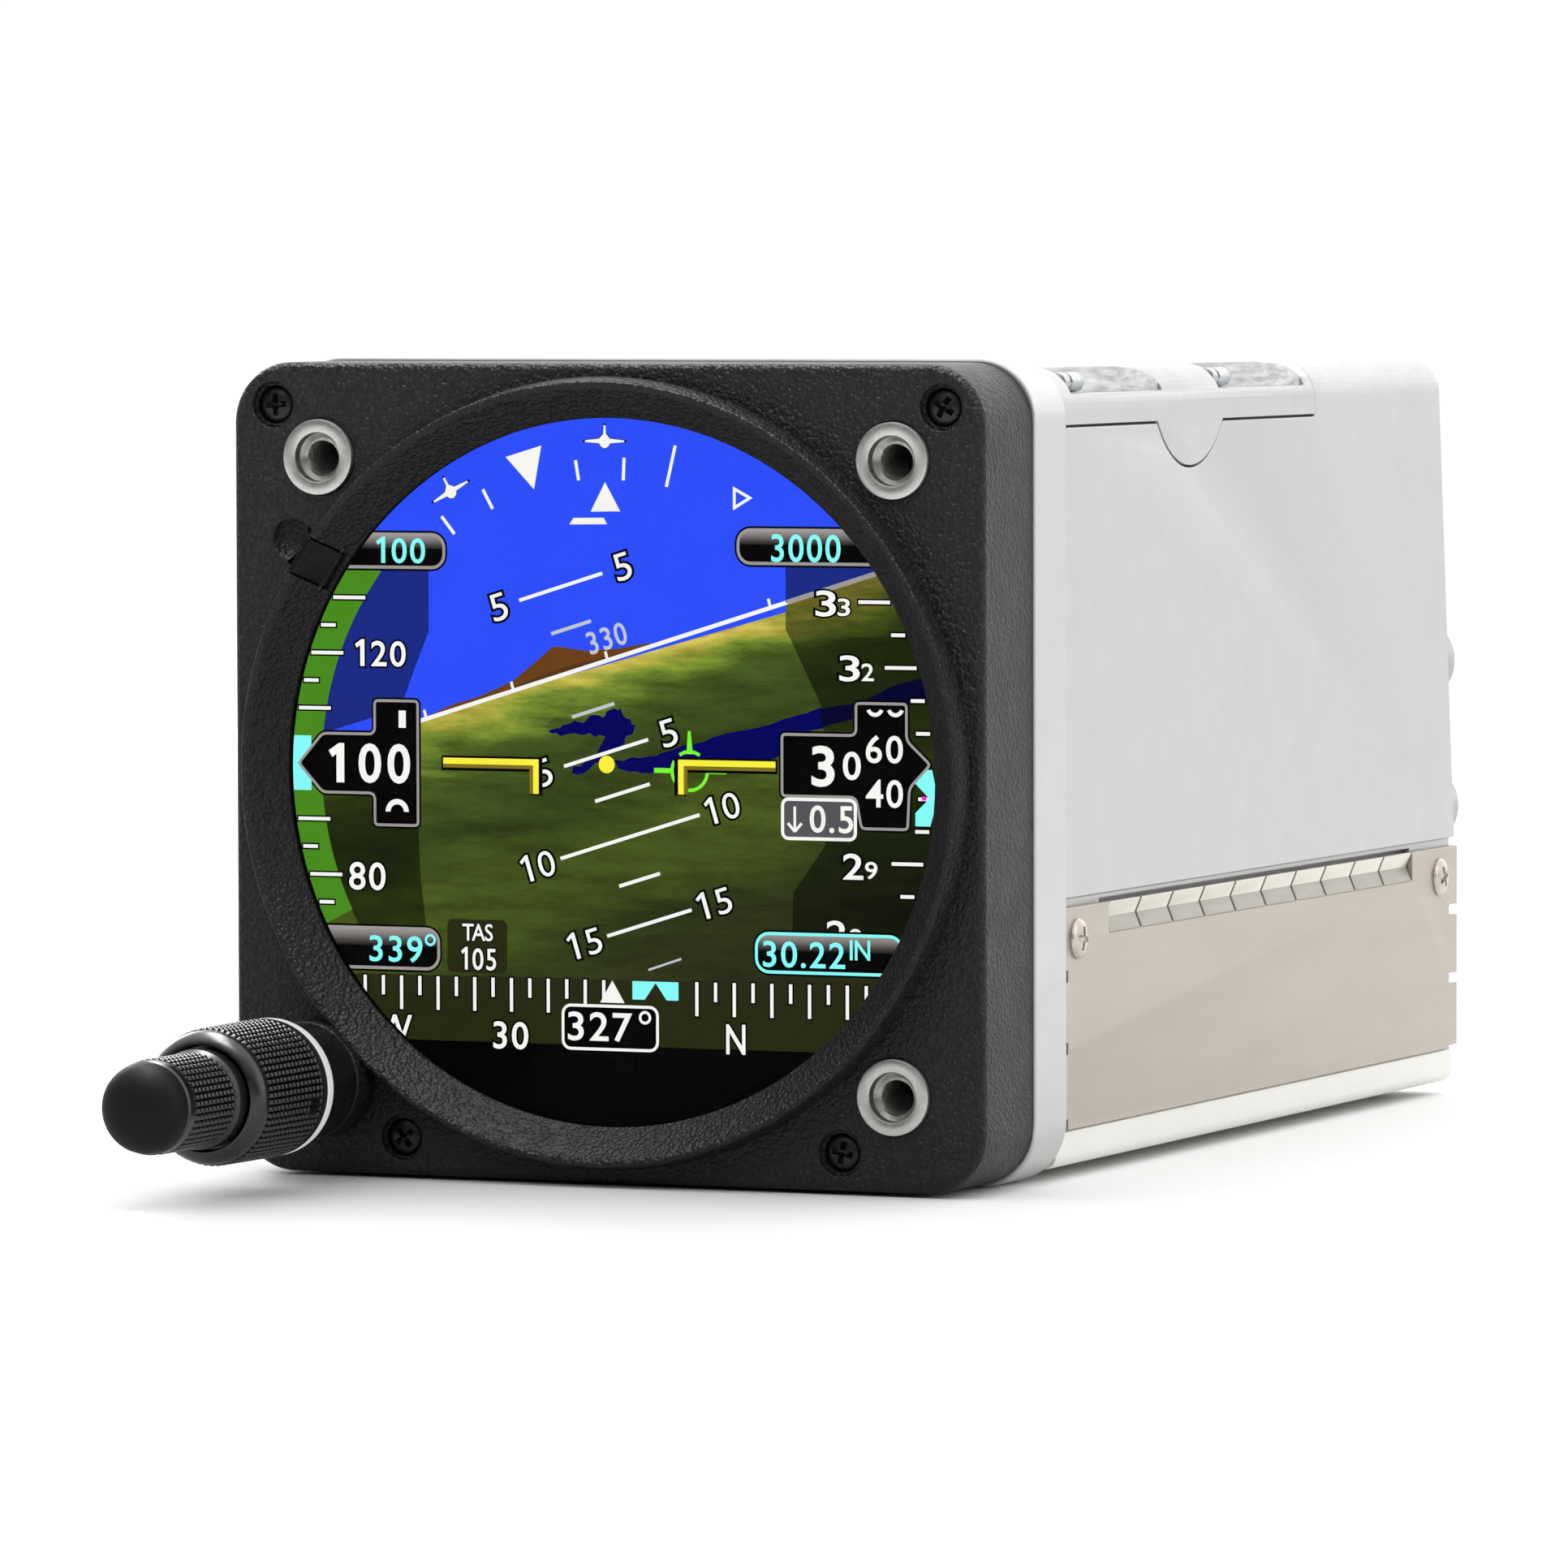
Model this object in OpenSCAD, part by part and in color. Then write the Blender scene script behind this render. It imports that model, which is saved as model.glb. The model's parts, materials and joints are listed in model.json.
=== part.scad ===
// Panel-mounted electronic flight instrument with a round display and a dual knob.
// Origin: centre of the display ring in the plane of the bezel's front face.
// +X right, +Y away from the pilot into the panel, +Z up.  Millimetres.

/* [Panel interface] */
// Side of the square on which the three threaded inserts lie
mount_pitch = 62.87; // [62.0:0.01:64.0]
// Radius of the raised display ring where it meets the bezel
ring_r = 39.7; // [39.5:0.1:40.0]
// Height of the display ring above the bezel's front face
ring_rise = 2.5; // [1.5:0.1:3.0]
// Radius of the visible display opening
opening_r = 35.5; // [34.5:0.1:36.0]

/* [Bezel and frame] */
// Width of the black bezel
bezel_w = 82.2; // [81.5:0.1:82.6]
// Height of the black bezel
bezel_h = 82.0; // [81.5:0.1:82.6]
// Depth of the black bezel
bezel_t = 12.8; // [12.0:0.1:14.0]
// Corner radius of the bezel and of the frame behind it
bezel_corner = 6.2; // [5.0:0.1:7.0]
// Width of the bright frame behind the bezel
frame_w = 82.8; // [82.6:0.1:83.4]
// Height of the bright frame behind the bezel
frame_h = 82.7; // [82.6:0.1:83.4]
// Depth of the bright frame
frame_t = 8.3; // [7.5:0.1:9.5]

/* [Case] */
// Width of the case
case_w = 80.6; // [80.0:0.1:81.0]
// Height of the case's top above the axis
case_top = 40.3; // [40.0:0.1:40.6]
// Level of the case's underside below the axis
case_bottom = -40.1; // [-40.5:0.1:-39.9]
// Radius along the two long top edges
case_edge_r = 4.0; // [3.0:0.1:5.0]
// Depth from the bezel's face to the lower rear wall
case_depth = 138.3; // [136.0:0.1:141.0]
// How far the upper rear wall leans forward, in millimetres per millimetre of height
rear_lean = 0.103; // [0.08:0.001:0.12]
// Thickness of the case's walls
wall = 2.3; // [2.0:0.1:2.6]

/* [Knob] */
// Radius of the knurled outer knob
outer_knob_r = 7.0; // [6.5:0.1:7.2]
// Radius of the knurled inner knob
inner_knob_r = 4.75; // [4.4:0.05:4.9]
// Distance from the bezel's face to the tip of the knob's cap
knob_reach = 42.1; // [41.0:0.1:43.0]
// Radius of the inner shaft
shaft_r = 2.0; // [1.8:0.1:2.2]
// How far the inner knob can be pushed in
push_travel = 0.8; // [0.5:0.1:0.8]

/* [Side cover] */
// Level of the side covers' top edge
cover_top = -13.9; // [-14.2:0.1:-13.7]
// Level of the side covers' bottom edge
cover_bottom = -36.3; // [-36.5:0.1:-36.1]
// Distance between neighbouring slits in the spring-finger row
finger_pitch = 9.0; // [8.8:0.05:9.1]
// Number of spring fingers on each side cover
finger_count = 10; // [6:1:10]

/* [Hidden] */
$fn = 64;

half_pitch = mount_pitch / 2;
frame_front = bezel_t;
frame_back = bezel_t + frame_t;
slip = 0.1;                      // gap between pieces that only lie beside each other
seam = 0.25;                     // visible gap round the battery cover
hole_slip = 0.05;                // radial gap round a fixed pin or screw
run = 0.08;                      // radial running clearance of a turning shaft

// display stack, front to back
glass_y = 1.3;
glass_t = 1.6;
panel_t = 1.8;
backlight_t = 2.5;
carrier_t = 2.0;
board_t = 1.6;
glass_r = 37.9;
panel_r = 36.0;
well_r = glass_r + 0.5;
panel_y = glass_y + glass_t;
backlight_y = panel_y + panel_t;
carrier_y = backlight_y + backlight_t;
display_board_y = carrier_y + carrier_t;
crest_in = opening_r + 3.1;
crest_out = ring_r - 0.45;
cone_foot = 0.9;                 // depth at which the inner cone meets the glass lip

// threaded inserts and bezel screws
insert_r = 3.85;
insert_mouth_r = 2.7;
insert_bore_r = 1.75;
insert_depth = 11.0;
insert_proud = 0.5;
insert_at = [[-half_pitch, half_pitch], [half_pitch, half_pitch], [half_pitch, -half_pitch]];
bezel_screw_at = [[-36.6, 36.7], [36.6, 36.7], [-22.5, -37.2], [25.6, -37.2]];
bezel_screw_pocket_r = 2.3;
bezel_screw_head_r = 1.85;
bezel_screw_r = 1.0;
bezel_screw_end = 18.5;

// service door in the ring, built on a radial plane
door_angle = 146.3;
door_half_w = 2.0;
door_side_gap = 0.2;
door_hinge_r = 36.35;
door_hinge_h = -0.15;
door_pin_r = 0.28;
door_barrel_r = 0.5;
door_floor_h = -0.8;
nail_pocket_at = [-34.5, 23.1];
nail_pocket_r = 2.6;
nail_pocket_lift = 1.4;

// knob stack along the axis of the fourth corner
knob_at = [-half_pitch, -half_pitch];
boss_r = 6.0;
boss_rise = 4.0;
bushing_r = 3.5;
outer_shaft_r = 3.0;
collar_front = -11.3;
light_ring_front = -13.1;
outer_knob_back = -13.4;
outer_knob_front = -27.0;
outer_knob_shoulder = 1.7;
outer_knob_mouth_r = 5.35;
outer_knob_mouth_floor = -25.4;
inner_knob_back = -26.6;
inner_knob_front = -38.9;
cap_r = 4.6;
encoder_r = 4.8;
encoder_front = 1.2;
encoder_back = 13.0;
encoder_wall = 0.8;
rotor_r = 3.7;
inner_shaft_end = 9.4;
switch_y = inner_shaft_end + push_travel + 0.4;
set_screw_y = -15.0;
set_screw_angle = -14;

// case
cavity_front = frame_back + 3.0;
knee_z = -13.0;                  // below this the rear wall stands upright
cavity_half_w = case_w / 2 - wall;
cavity_top = case_top - wall;
tray_top = -36.4;
tray_floor = 2.0;
recess_depth = 0.4;
frame_screw_at = [[-35.0, 24], [35.0, 24], [-35.0, -24], [35.0, -24]];
tray_boss_half = 3.2;
tray_screw_at = [[-34, 30], [34, 30], [-34, 128], [34, 128]];

// side covers
cover_t = 0.7;
cover_x = case_w / 2 - recess_depth + cover_t;
cover_front = frame_back + 0.3;
tab_wrap = 1.9;
slit_w = 0.5;
slit_h = 3.1;
finger_dip = 0.65;
first_slit_y = 34.5;
tab_levels = [[-20.4, cover_top], [-28.0, -21.5], [-36.0, -29.0]];
cover_screw_at = [[25.8, -17.1], [133.0, -17.1]];
cover_screw_head_r = 2.1;

// battery cover on the upper right edge
bcover_x = 10.0;
bcover_z = 34.6;
bcover_back = 94.7;
tab_r = 11.5;
tab_y = 58.2;
tab_low_z = 29.9;
tab_t = 1.2;
scallop_floor = 37.7;
scallop_start = [25.6, 66.9];
scallop_len = 25.5;
scallop_depth = 5.6;
bcover_screw_x = 37.9;
bcover_screw_z = 38.75;
bcover_screw_head_r = 1.05;
bcover_screw_head_l = 5.4;
bcover_screw_r = 0.8;

// boards and modules
main_board_z = -8.0;
power_board_z = -30.0;
post_at = [[-33, 45], [33, 45], [-33, 93], [33, 93]];
post_r = 2.6;

// rear fittings
port_x = 31.0;
port_z = [6.0, -10.4];
port_r = 4.76;
port_reach = 15.6;
port_stem_r = 3.4;
port_bore_r = 2.0;
port_boss_r = 7.6;
port_boss_y = 139.3;
gps_at = [-26, 12];
gps_boss_r = 9.0;
gps_boss_y = 138.0;
gps_thread_r = 5.45;
dsub_z = -26;
dsub_flange = [67.0, 13.6];
dsub_shell = [52.8, 9.6];
dsub_pitch = 61.1;
jack_r = 2.4;
jack_bore_r = 1.2;

// ---- helpers ---------------------------------------------------------------

// Round bar along Y between two depths
module rod(r, y0, y1, at = [0, 0])
    translate([at[0], y0, at[1]]) rotate([-90, 0, 0]) cylinder(r = r, h = y1 - y0);

// Round tube along Y
module tube(r_out, r_in, y0, y1, at = [0, 0])
    difference() {
        rod(r_out, y0, y1, at);
        rod(r_in, y0 - 1, y1 + 1, at);
    }

// Round bar along X
module cross_rod(r, x0, x1, y, z)
    translate([x0, y, z]) rotate([0, 90, 0]) cylinder(r = r, h = x1 - x0);

// Upright post along Z
module post(r, z0, z1, at)
    translate([at[0], at[1], z0]) cylinder(r = r, h = z1 - z0);

module block(lo, hi)
    translate(lo) cube(hi - lo);

// Rectangle with its own radius at the top and bottom corners
module round_rect(x0, x1, z0, z1, top_r, low_r) {
    mid_z = (z0 + z1) / 2;
    translate([x0 + top_r, mid_z]) square([x1 - x0 - 2 * top_r, z1 - mid_z]);
    translate([x0, mid_z]) square([x1 - x0, z1 - mid_z - top_r]);
    translate([x0 + low_r, z0]) square([x1 - x0 - 2 * low_r, mid_z - z0]);
    translate([x0, z0 + low_r]) square([x1 - x0, mid_z - z0 - low_r]);
    for (x = [x0 + top_r, x1 - top_r]) translate([x, z1 - top_r]) circle(r = top_r);
    for (x = [x0 + low_r, x1 - low_r]) translate([x, z0 + low_r]) circle(r = low_r);
}

// Extrude an XZ outline between two depths
module along_y(y0, y1)
    translate([0, y1, 0]) rotate([90, 0, 0]) linear_extrude(y1 - y0) children();

// Extrude a YZ outline between two widths
module along_x(x0, x1)
    translate([x0, 0, 0]) rotate([90, 0, 90]) linear_extrude(x1 - x0) children();

// Solid of revolution about the display axis; the outline is [radius, height to the front]
module turned(points)
    rotate([90, 0, 0]) rotate_extrude() polygon(points);

// Depth of the upper rear wall's outside at a level
function rear_y(z) = case_depth + 0.7 + rear_lean * (knee_z - z);

// ---- front ------------------------------------------------------------------

// Places children on the service door's radial plane: X outwards, Y across, Z to the front
module on_door_plane()
    rotate([0, -door_angle, 0]) rotate([90, 0, 0]) children();

module bezel()
    color("#232427") difference() {
        union() {
            along_y(0, bezel_t)
                round_rect(-bezel_w / 2, bezel_w / 2, -bezel_h / 2, bezel_h / 2,
                           bezel_corner, bezel_corner);
            rotate([90, 0, 0]) cylinder(r1 = ring_r, r2 = crest_out, h = ring_rise);
            rod(boss_r, -boss_rise, 1, knob_at);
        }
        turned([[0, -glass_y - 1], [opening_r, -glass_y - 1], [opening_r, -cone_foot],
                [crest_in, ring_rise], [crest_in, ring_rise + 4], [0, ring_rise + 4]]);
        rod(well_r, glass_y, bezel_t + 1);
        for (at = insert_at) rod(insert_r + hole_slip, -1, bezel_t + 1, at);
        for (at = bezel_screw_at) {
            rod(bezel_screw_pocket_r, -1, 0.6, at);
            rod(bezel_screw_head_r + 0.1, 0, 2.2, at);
            rod(bezel_screw_r + hole_slip, 0, bezel_t + 1, at);
        }
        rod(bushing_r + hole_slip, -boss_rise - 1, encoder_front + 1, knob_at);
        rod(encoder_r + hole_slip, encoder_front, bezel_t + 1, knob_at);
        translate([nail_pocket_at[0], -nail_pocket_lift, nail_pocket_at[1]])
            sphere(r = nail_pocket_r);
        on_door_plane() {
            block([opening_r - 1, -door_half_w - door_side_gap, door_floor_h],
                  [ring_r + 1, door_half_w + door_side_gap, ring_rise + 1]);
            translate([door_hinge_r, 0, door_hinge_h]) rotate([90, 0, 0])
                cylinder(r = door_pin_r + 0.02, h = 2 * door_half_w + 1.4, center = true);
            block([37.3, -1.6, -1.15], [39.3, 1.6, 0]);
        }
    }

module display_glass()
    color([0.02, 0.02, 0.025]) rod(glass_r, glass_y, panel_y);

module display_panel()
    color("#2a46c8") rod(panel_r, panel_y, backlight_y);

module glass_gasket()
    color("#151515") tube(glass_r, panel_r + slip, panel_y, backlight_y);

module backlight_unit()
    color("#d8dade") rod(glass_r, backlight_y, carrier_y);

module display_carrier()
    color("#8b8f94") tube(glass_r, 30, carrier_y, display_board_y);

module display_board()
    color("#1f5a34") rod(glass_r, display_board_y, display_board_y + board_t);

// Flat strip that carries the display's signals back to the main board
module display_flex()
    color("#c07a2c") along_x(-8, 8)
        polygon([[display_board_y + board_t, 2], [display_board_y + board_t + 0.4, 2],
                 [display_board_y + board_t + 0.4, -5.2], [32, -5.2], [32, main_board_z + 1.6],
                 [31.6, main_board_z + 1.6], [31.6, -5.6], [display_board_y + board_t, -5.6]]);

module threaded_inserts()
    color("#b9bbb8") for (at = insert_at)
        difference() {
            rod(insert_r, -insert_proud, insert_depth, at);
            rod(insert_bore_r, -insert_proud - 1, insert_depth - 1, at);
            translate([at[0], -insert_proud - 0.01, at[1]]) rotate([-90, 0, 0])
                cylinder(r1 = insert_mouth_r, r2 = insert_bore_r, h = 1.2);
        }

module bezel_screws()
    color("#191919") for (at = bezel_screw_at)
        difference() {
            union() {
                rod(bezel_screw_head_r, 0.5, 2.1, at);
                rod(bezel_screw_r, 2, bezel_screw_end, at);
            }
            for (turn = [20, 110])
                translate([at[0], 0.4, at[1]]) rotate([0, turn, 0])
                    cube([2.2, 1.6, 0.45], center = true);
        }

module service_contacts()
    color("#c9a24a") on_door_plane()
        block([37.35, -1.55, -1.1], [39.25, 1.55, -0.6]);

module data_door()
    color("#1b1b1d") on_door_plane() difference() {
        union() {
            rotate([90, 0, 0]) linear_extrude(2 * door_half_w, center = true)
                polygon([[door_hinge_r, door_hinge_h - 0.3], [door_hinge_r, door_hinge_h + 0.35],
                         [crest_in, ring_rise], [crest_out, ring_rise], [ring_r - 0.25, 1.0],
                         [38.6, 0.6]]);
            translate([door_hinge_r, 0, door_hinge_h]) rotate([90, 0, 0])
                cylinder(r = door_barrel_r, h = 2 * door_half_w, center = true);
        }
        translate([door_hinge_r, 0, door_hinge_h]) rotate([90, 0, 0])
            cylinder(r = door_pin_r + 0.06, h = 2 * door_half_w + 1, center = true);
    }

module data_door_pin()
    color("#9a9da0") on_door_plane()
        translate([door_hinge_r, 0, door_hinge_h]) rotate([90, 0, 0])
            cylinder(r = door_pin_r, h = 2 * door_half_w + 1.2, center = true);

// ---- knob -------------------------------------------------------------------

module knob_collar()
    color("#1d1d1f") tube(boss_r - 0.1, bushing_r + hole_slip, collar_front, -boss_rise, knob_at);

module knob_light_ring()
    color("#f2f2ee") tube(outer_knob_r - 0.05, bushing_r + hole_slip,
                          light_ring_front, collar_front, knob_at);

module encoder_bushing()
    color("#a9acaf") tube(bushing_r, outer_shaft_r + run, light_ring_front + 0.1,
                          encoder_front, knob_at);

module encoder_can()
    color("#8f9396") difference() {
        rod(encoder_r, encoder_front, encoder_back, knob_at);
        rod(outer_shaft_r + run, encoder_front - 1, encoder_front + 2, knob_at);
        rod(encoder_r - encoder_wall, encoder_front + 1.2, encoder_back - encoder_wall, knob_at);
    }

module push_switch()
    color("#3a3d40") rod(2.4, switch_y, encoder_back - encoder_wall, knob_at);

// Tube that carries the outer knob, with the encoder's first code wheel at its end
module outer_shaft()
    color("#b4b7ba") difference() {
        union() {
            rod(outer_shaft_r, -24, 4.3, knob_at);
            rod(rotor_r, 2.8, 4.3, knob_at);
        }
        rod(shaft_r + run, -25, 6, knob_at);
    }

module outer_knob()
    color("#202123") translate([knob_at[0], 0, knob_at[1]]) difference() {
        rotate([90, 0, 0]) rotate_extrude() polygon(concat(
            [[outer_shaft_r + 0.02, -outer_knob_back], [outer_knob_r, -outer_knob_back]],
            [for (a = [0:15:90])
                [outer_knob_mouth_r + (outer_knob_r - outer_knob_mouth_r) * cos(a),
                 -outer_knob_front - outer_knob_shoulder * (1 - sin(a))]],
            [[outer_knob_mouth_r, -outer_knob_mouth_floor],
             [outer_shaft_r + 0.02, -outer_knob_mouth_floor]]));
        rotate([0, -set_screw_angle, 0]) cross_rod(0.85, outer_shaft_r, outer_knob_r + 1,
                                                  set_screw_y, 0);
    }

module knob_set_screw()
    color("#8a8c8e") translate([knob_at[0], 0, knob_at[1]])
        rotate([0, -set_screw_angle, 0])
            cross_rod(0.8, outer_shaft_r + 0.05, outer_knob_r - 0.5, set_screw_y, 0);

module detent_rotor()
    color("#d9d4c2") tube(rotor_r, shaft_r + run, 5.4, 7.6, knob_at);

module inner_shaft()
    color("#b4b7ba") rod(shaft_r, -36.0, inner_shaft_end, knob_at);

module inner_knob()
    color("#202123") difference() {
        rod(inner_knob_r, inner_knob_front, inner_knob_back, knob_at);
        rod(shaft_r + 0.02, -36.0, inner_knob_back + 1, knob_at);
        rod(3.05, inner_knob_front - 1, -36.5, knob_at);
    }

module knob_cap()
    color("#2a2b2d") union() {
        intersection() {
            translate([knob_at[0], cap_r - knob_reach, knob_at[1]]) sphere(r = cap_r);
            rod(cap_r + 1, -knob_reach - 1, inner_knob_front, knob_at);
        }
        rod(3.0, inner_knob_front - 0.5, -36.6, knob_at);
    }

// ---- frame and case -----------------------------------------------------------

module mid_frame()
    color("#d5d7d8") difference() {
        along_y(frame_front, frame_back)
            round_rect(-frame_w / 2, frame_w / 2, -frame_h / 2, frame_h / 2,
                       bezel_corner, bezel_corner);
        along_y(frame_front - 1, frame_back + 1) round_rect(-31, 31, -32, 32, 4, 4);
        rod(encoder_r + 0.4, frame_front - 1, encoder_back + 0.6, knob_at);
        for (at = bezel_screw_at)
            rod(bezel_screw_r + hole_slip, frame_front - 1, bezel_screw_end + 0.5, at);
        for (at = frame_screw_at) {
            rod(2.4, frame_front - 1, frame_front + 2.4, at);
            rod(1.3, frame_front, frame_back + 1, at);
        }
        rod(bcover_screw_r + hole_slip, frame_front + 3, frame_back + 1,
            [bcover_screw_x, bcover_screw_z - 0.6]);
    }

module frame_screws()
    color("#c4c6c8") for (at = frame_screw_at) {
        rod(2.3, frame_front + 0.2, frame_front + 2.3, at);
        rod(1.25, frame_front + 2, cavity_front + 3, at);
    }

// Outline of the case seen from the side, drawn in by an inset
module case_profile(inset, front, low)
    polygon([[front, low], [case_depth - inset, low], [case_depth - inset, knee_z],
             [rear_y(knee_z) - inset, knee_z], [rear_y(case_top) - inset, case_top],
             [front, case_top]]);

// Block inside the case's lower edge that takes one tray screw
module tray_boss(at) {
    side = at[0] < 0 ? -1 : 1;
    inner_x = at[0] - side * tray_boss_half;
    outer_x = side * (cavity_half_w - 0.6);
    difference() {
        union() {
            block([min(inner_x, outer_x), at[1] - tray_boss_half, case_bottom + tray_floor],
                  [max(inner_x, outer_x), at[1] + tray_boss_half, tray_top + 0.1]);
            block([min(inner_x, side * (cavity_half_w + 0.1)), at[1] - tray_boss_half, tray_top],
                  [max(inner_x, side * (cavity_half_w + 0.1)), at[1] + tray_boss_half, -34]);
        }
        post(1.05, case_bottom, -34.5, at);
    }
}

module case_body()
    color("#e3e4e5") {
        case_shell();
        for (at = tray_screw_at) tray_boss(at);
    }

module case_shell()
    difference() {
        union() {
            intersection() {
                along_x(-case_w / 2, case_w / 2) case_profile(0, frame_back, tray_top);
                along_y(frame_back, case_depth + 10)
                    round_rect(-case_w / 2, case_w / 2, case_bottom - 5, case_top,
                               case_edge_r, 1);
            }
            block([-cavity_half_w + 1, case_depth - 2.6, case_bottom + tray_floor],
                  [cavity_half_w - 1, case_depth, tray_top + 1]);
            for (z = port_z) rod(port_boss_r, 134, port_boss_y, [port_x, z]);
            rod(gps_boss_r, 134, gps_boss_y, gps_at);
        }
        // cavity and front window
        intersection() {
            along_x(-cavity_half_w, cavity_half_w) case_profile(2.6, cavity_front, -60);
            block([-60, cavity_front, -60], [60, case_depth + 10, cavity_top]);
        }
        along_y(frame_back - 1, cavity_front + 1) round_rect(-31, 31, -33, 32, 3, 3);
        // recess, spring-finger groove and access window behind each side cover
        for (side = [-1, 1]) {
            block([side < 0 ? -60 : case_w / 2 - recess_depth, frame_back - 1, -60],
                  [side < 0 ? recess_depth - case_w / 2 : 60, case_depth + 10, knee_z]);
            block([side < 0 ? -60 : case_w / 2 - 1.6, first_slit_y - 1, -17.8],
                  [side < 0 ? 1.6 - case_w / 2 : 60,
                   first_slit_y + finger_count * finger_pitch + 1, cover_top + 0.3]);
            block([side < 0 ? -60 : 30, first_slit_y, -33],
                  [side < 0 ? -30 : 60, first_slit_y + finger_count * finger_pitch, -19]);
            for (at = cover_screw_at)
                cross_rod(1.05, side < 0 ? -60 : 30, side < 0 ? -30 : 60, at[0], at[1]);
        }
        // seat of the battery cover and its thumb tab
        block([bcover_x - seam, frame_back - 1, bcover_z - seam],
              [60, bcover_back + slip, 60]);
        intersection() {
            cross_rod(tab_r + seam, case_w / 2 - tab_t - slip, 60, tab_y, tab_low_z + tab_r);
            block([0, tab_y - 20, tab_low_z - 1], [60, tab_y + 20, bcover_z]);
        }
        for (at = frame_screw_at) rod(1.3, frame_back - 1, cavity_front + 5, at);
        for (z = port_z) rod(port_stem_r + hole_slip, 120, 150, [port_x, z]);
        rod(5.05, 120, 150, gps_at);
        along_y(130, 150)
            round_rect(-dsub_shell[0] / 2, dsub_shell[0] / 2, dsub_z - dsub_shell[1] / 2,
                       dsub_z + dsub_shell[1] / 2, 2, 2);
        for (x = [-dsub_pitch / 2, dsub_pitch / 2]) rod(1.55, 130, 150, [x, dsub_z]);
    }

module bottom_tray()
    color("#dcdcd8") difference() {
        along_y(frame_back, case_depth)
            round_rect(0.1 - case_w / 2, case_w / 2 - 0.1, case_bottom, tray_top, 0.3, 1.2);
        block([-cavity_half_w + 0.5, frame_back - 1, case_bottom + tray_floor],
              [cavity_half_w - 0.5, case_depth + 1, 0]);
        for (at = tray_screw_at) {
            post(2.0, case_bottom - 1, case_bottom + 1.1, at);
            post(1.05, case_bottom - 1, tray_top + 1, at);
        }
    }

module tray_screws()
    color("#c4c6c8") for (at = tray_screw_at) {
        post(1.9, case_bottom + 0.2, case_bottom + 1.0, at);
        post(1.0, case_bottom + 0.9, case_bottom + tray_floor + 3, at);
    }

// One cover: flat sheet, ten bent spring fingers, wrapped rear tabs; drawn on the right side
module side_cover() {
    inner = cover_x - cover_t;
    last_slit_y = first_slit_y + finger_count * finger_pitch;
    difference() {
        union() {
            block([inner, cover_front, cover_bottom],
                  [cover_x, case_depth + cover_t, cover_top - slit_h]);
            block([inner, cover_front, cover_top - slit_h - 0.1],
                  [cover_x, first_slit_y, cover_top]);
            block([inner, last_slit_y, cover_top - slit_h - 0.1],
                  [cover_x, case_depth + cover_t, cover_top]);
            for (lv = tab_levels)
                block([inner - tab_wrap, case_depth, lv[0]], [cover_x, case_depth + cover_t, lv[1]]);
        }
        for (lv = tab_levels)
            block([inner - 1, case_depth - 1.8, lv[0] - 1.1],
                  [cover_x + 1, case_depth + 2, lv[0]]);
        for (z = [-21.4, -28.7, -36.4])
            block([inner - 1, cover_front + 0.6, z], [cover_x + 1, cover_front + 2.0, z + 1.2]);
        for (at = cover_screw_at)
            cross_rod(1.1, inner - 1, cover_x + 1, at[0], at[1]);
    }
    for (i = [0:finger_count - 1])
        along_y(first_slit_y + i * finger_pitch + slit_w / 2,
                first_slit_y + (i + 1) * finger_pitch - slit_w / 2)
            polygon([[cover_x, cover_top - slit_h - 0.05], [cover_x - finger_dip,
                      cover_top - slit_h / 2], [cover_x, cover_top], [inner, cover_top],
                     [inner - finger_dip, cover_top - slit_h / 2],
                     [inner, cover_top - slit_h - 0.05]]);
}

module side_cover_right()
    color("#c9c2b6") side_cover();

module side_cover_left()
    color("#c9c2b6") mirror([1, 0, 0]) side_cover();

module side_cover_screws()
    color("#cfcabf") for (side = [0, 1]) mirror([side, 0, 0])
        for (at = cover_screw_at) {
            cross_rod(cover_screw_head_r, cover_x, cover_x + 0.8, at[0], at[1]);
            cross_rod(1.0, cavity_half_w - 2, cover_x + 0.1, at[0], at[1]);
        }

module battery_cover()
    color("#dfe0e0") difference() {
        union() {
            intersection() {
                block([bcover_x, frame_back, bcover_z], [60, bcover_back, 60]);
                along_y(frame_back, bcover_back)
                    round_rect(-case_w / 2, case_w / 2, 0, case_top, case_edge_r, 1);
            }
            intersection() {
                cross_rod(tab_r, case_w / 2 - tab_t, case_w / 2, tab_y, tab_low_z + tab_r);
                block([0, tab_y - 20, tab_low_z - 1], [60, tab_y + 20, bcover_z + 0.1]);
            }
        }
        for (y = scallop_start)
            translate([0, y, scallop_floor]) linear_extrude(5)
                polygon(concat(
                    [[case_w / 2 + 2, 0]],
                    [for (a = [0:10:90])
                        [case_w / 2 + 0.2 - scallop_depth * cos(a), scallop_len * sin(a)]],
                    [[case_w / 2 + 2, scallop_len]]));
        for (y = scallop_start)
            rod(bcover_screw_r + hole_slip, y - 12, y + 1.6,
                [bcover_screw_x, bcover_screw_z - 0.6]);
    }

// Long captive screws lying in the scallops, turned from the rear
module battery_cover_screws()
    color("#c9cbcc") for (y = scallop_start) {
        rod(bcover_screw_head_r, y + 1.2, y + 1.2 + bcover_screw_head_l,
            [bcover_screw_x, bcover_screw_z + 0.05]);
        rod(bcover_screw_r, y - 6, y + 1.4, [bcover_screw_x, bcover_screw_z - 0.6]);
    }

// ---- inside -------------------------------------------------------------------

module main_board()
    color("#1f5a34") difference() {
        block([-36, 30, main_board_z], [36, 130, main_board_z + board_t]);
        block([21.8, 99.8, main_board_z - 1], [40, 131, main_board_z + board_t + 1]);
        for (at = post_at) post(1.3, main_board_z - 1, main_board_z + 3, at);
    }

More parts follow.
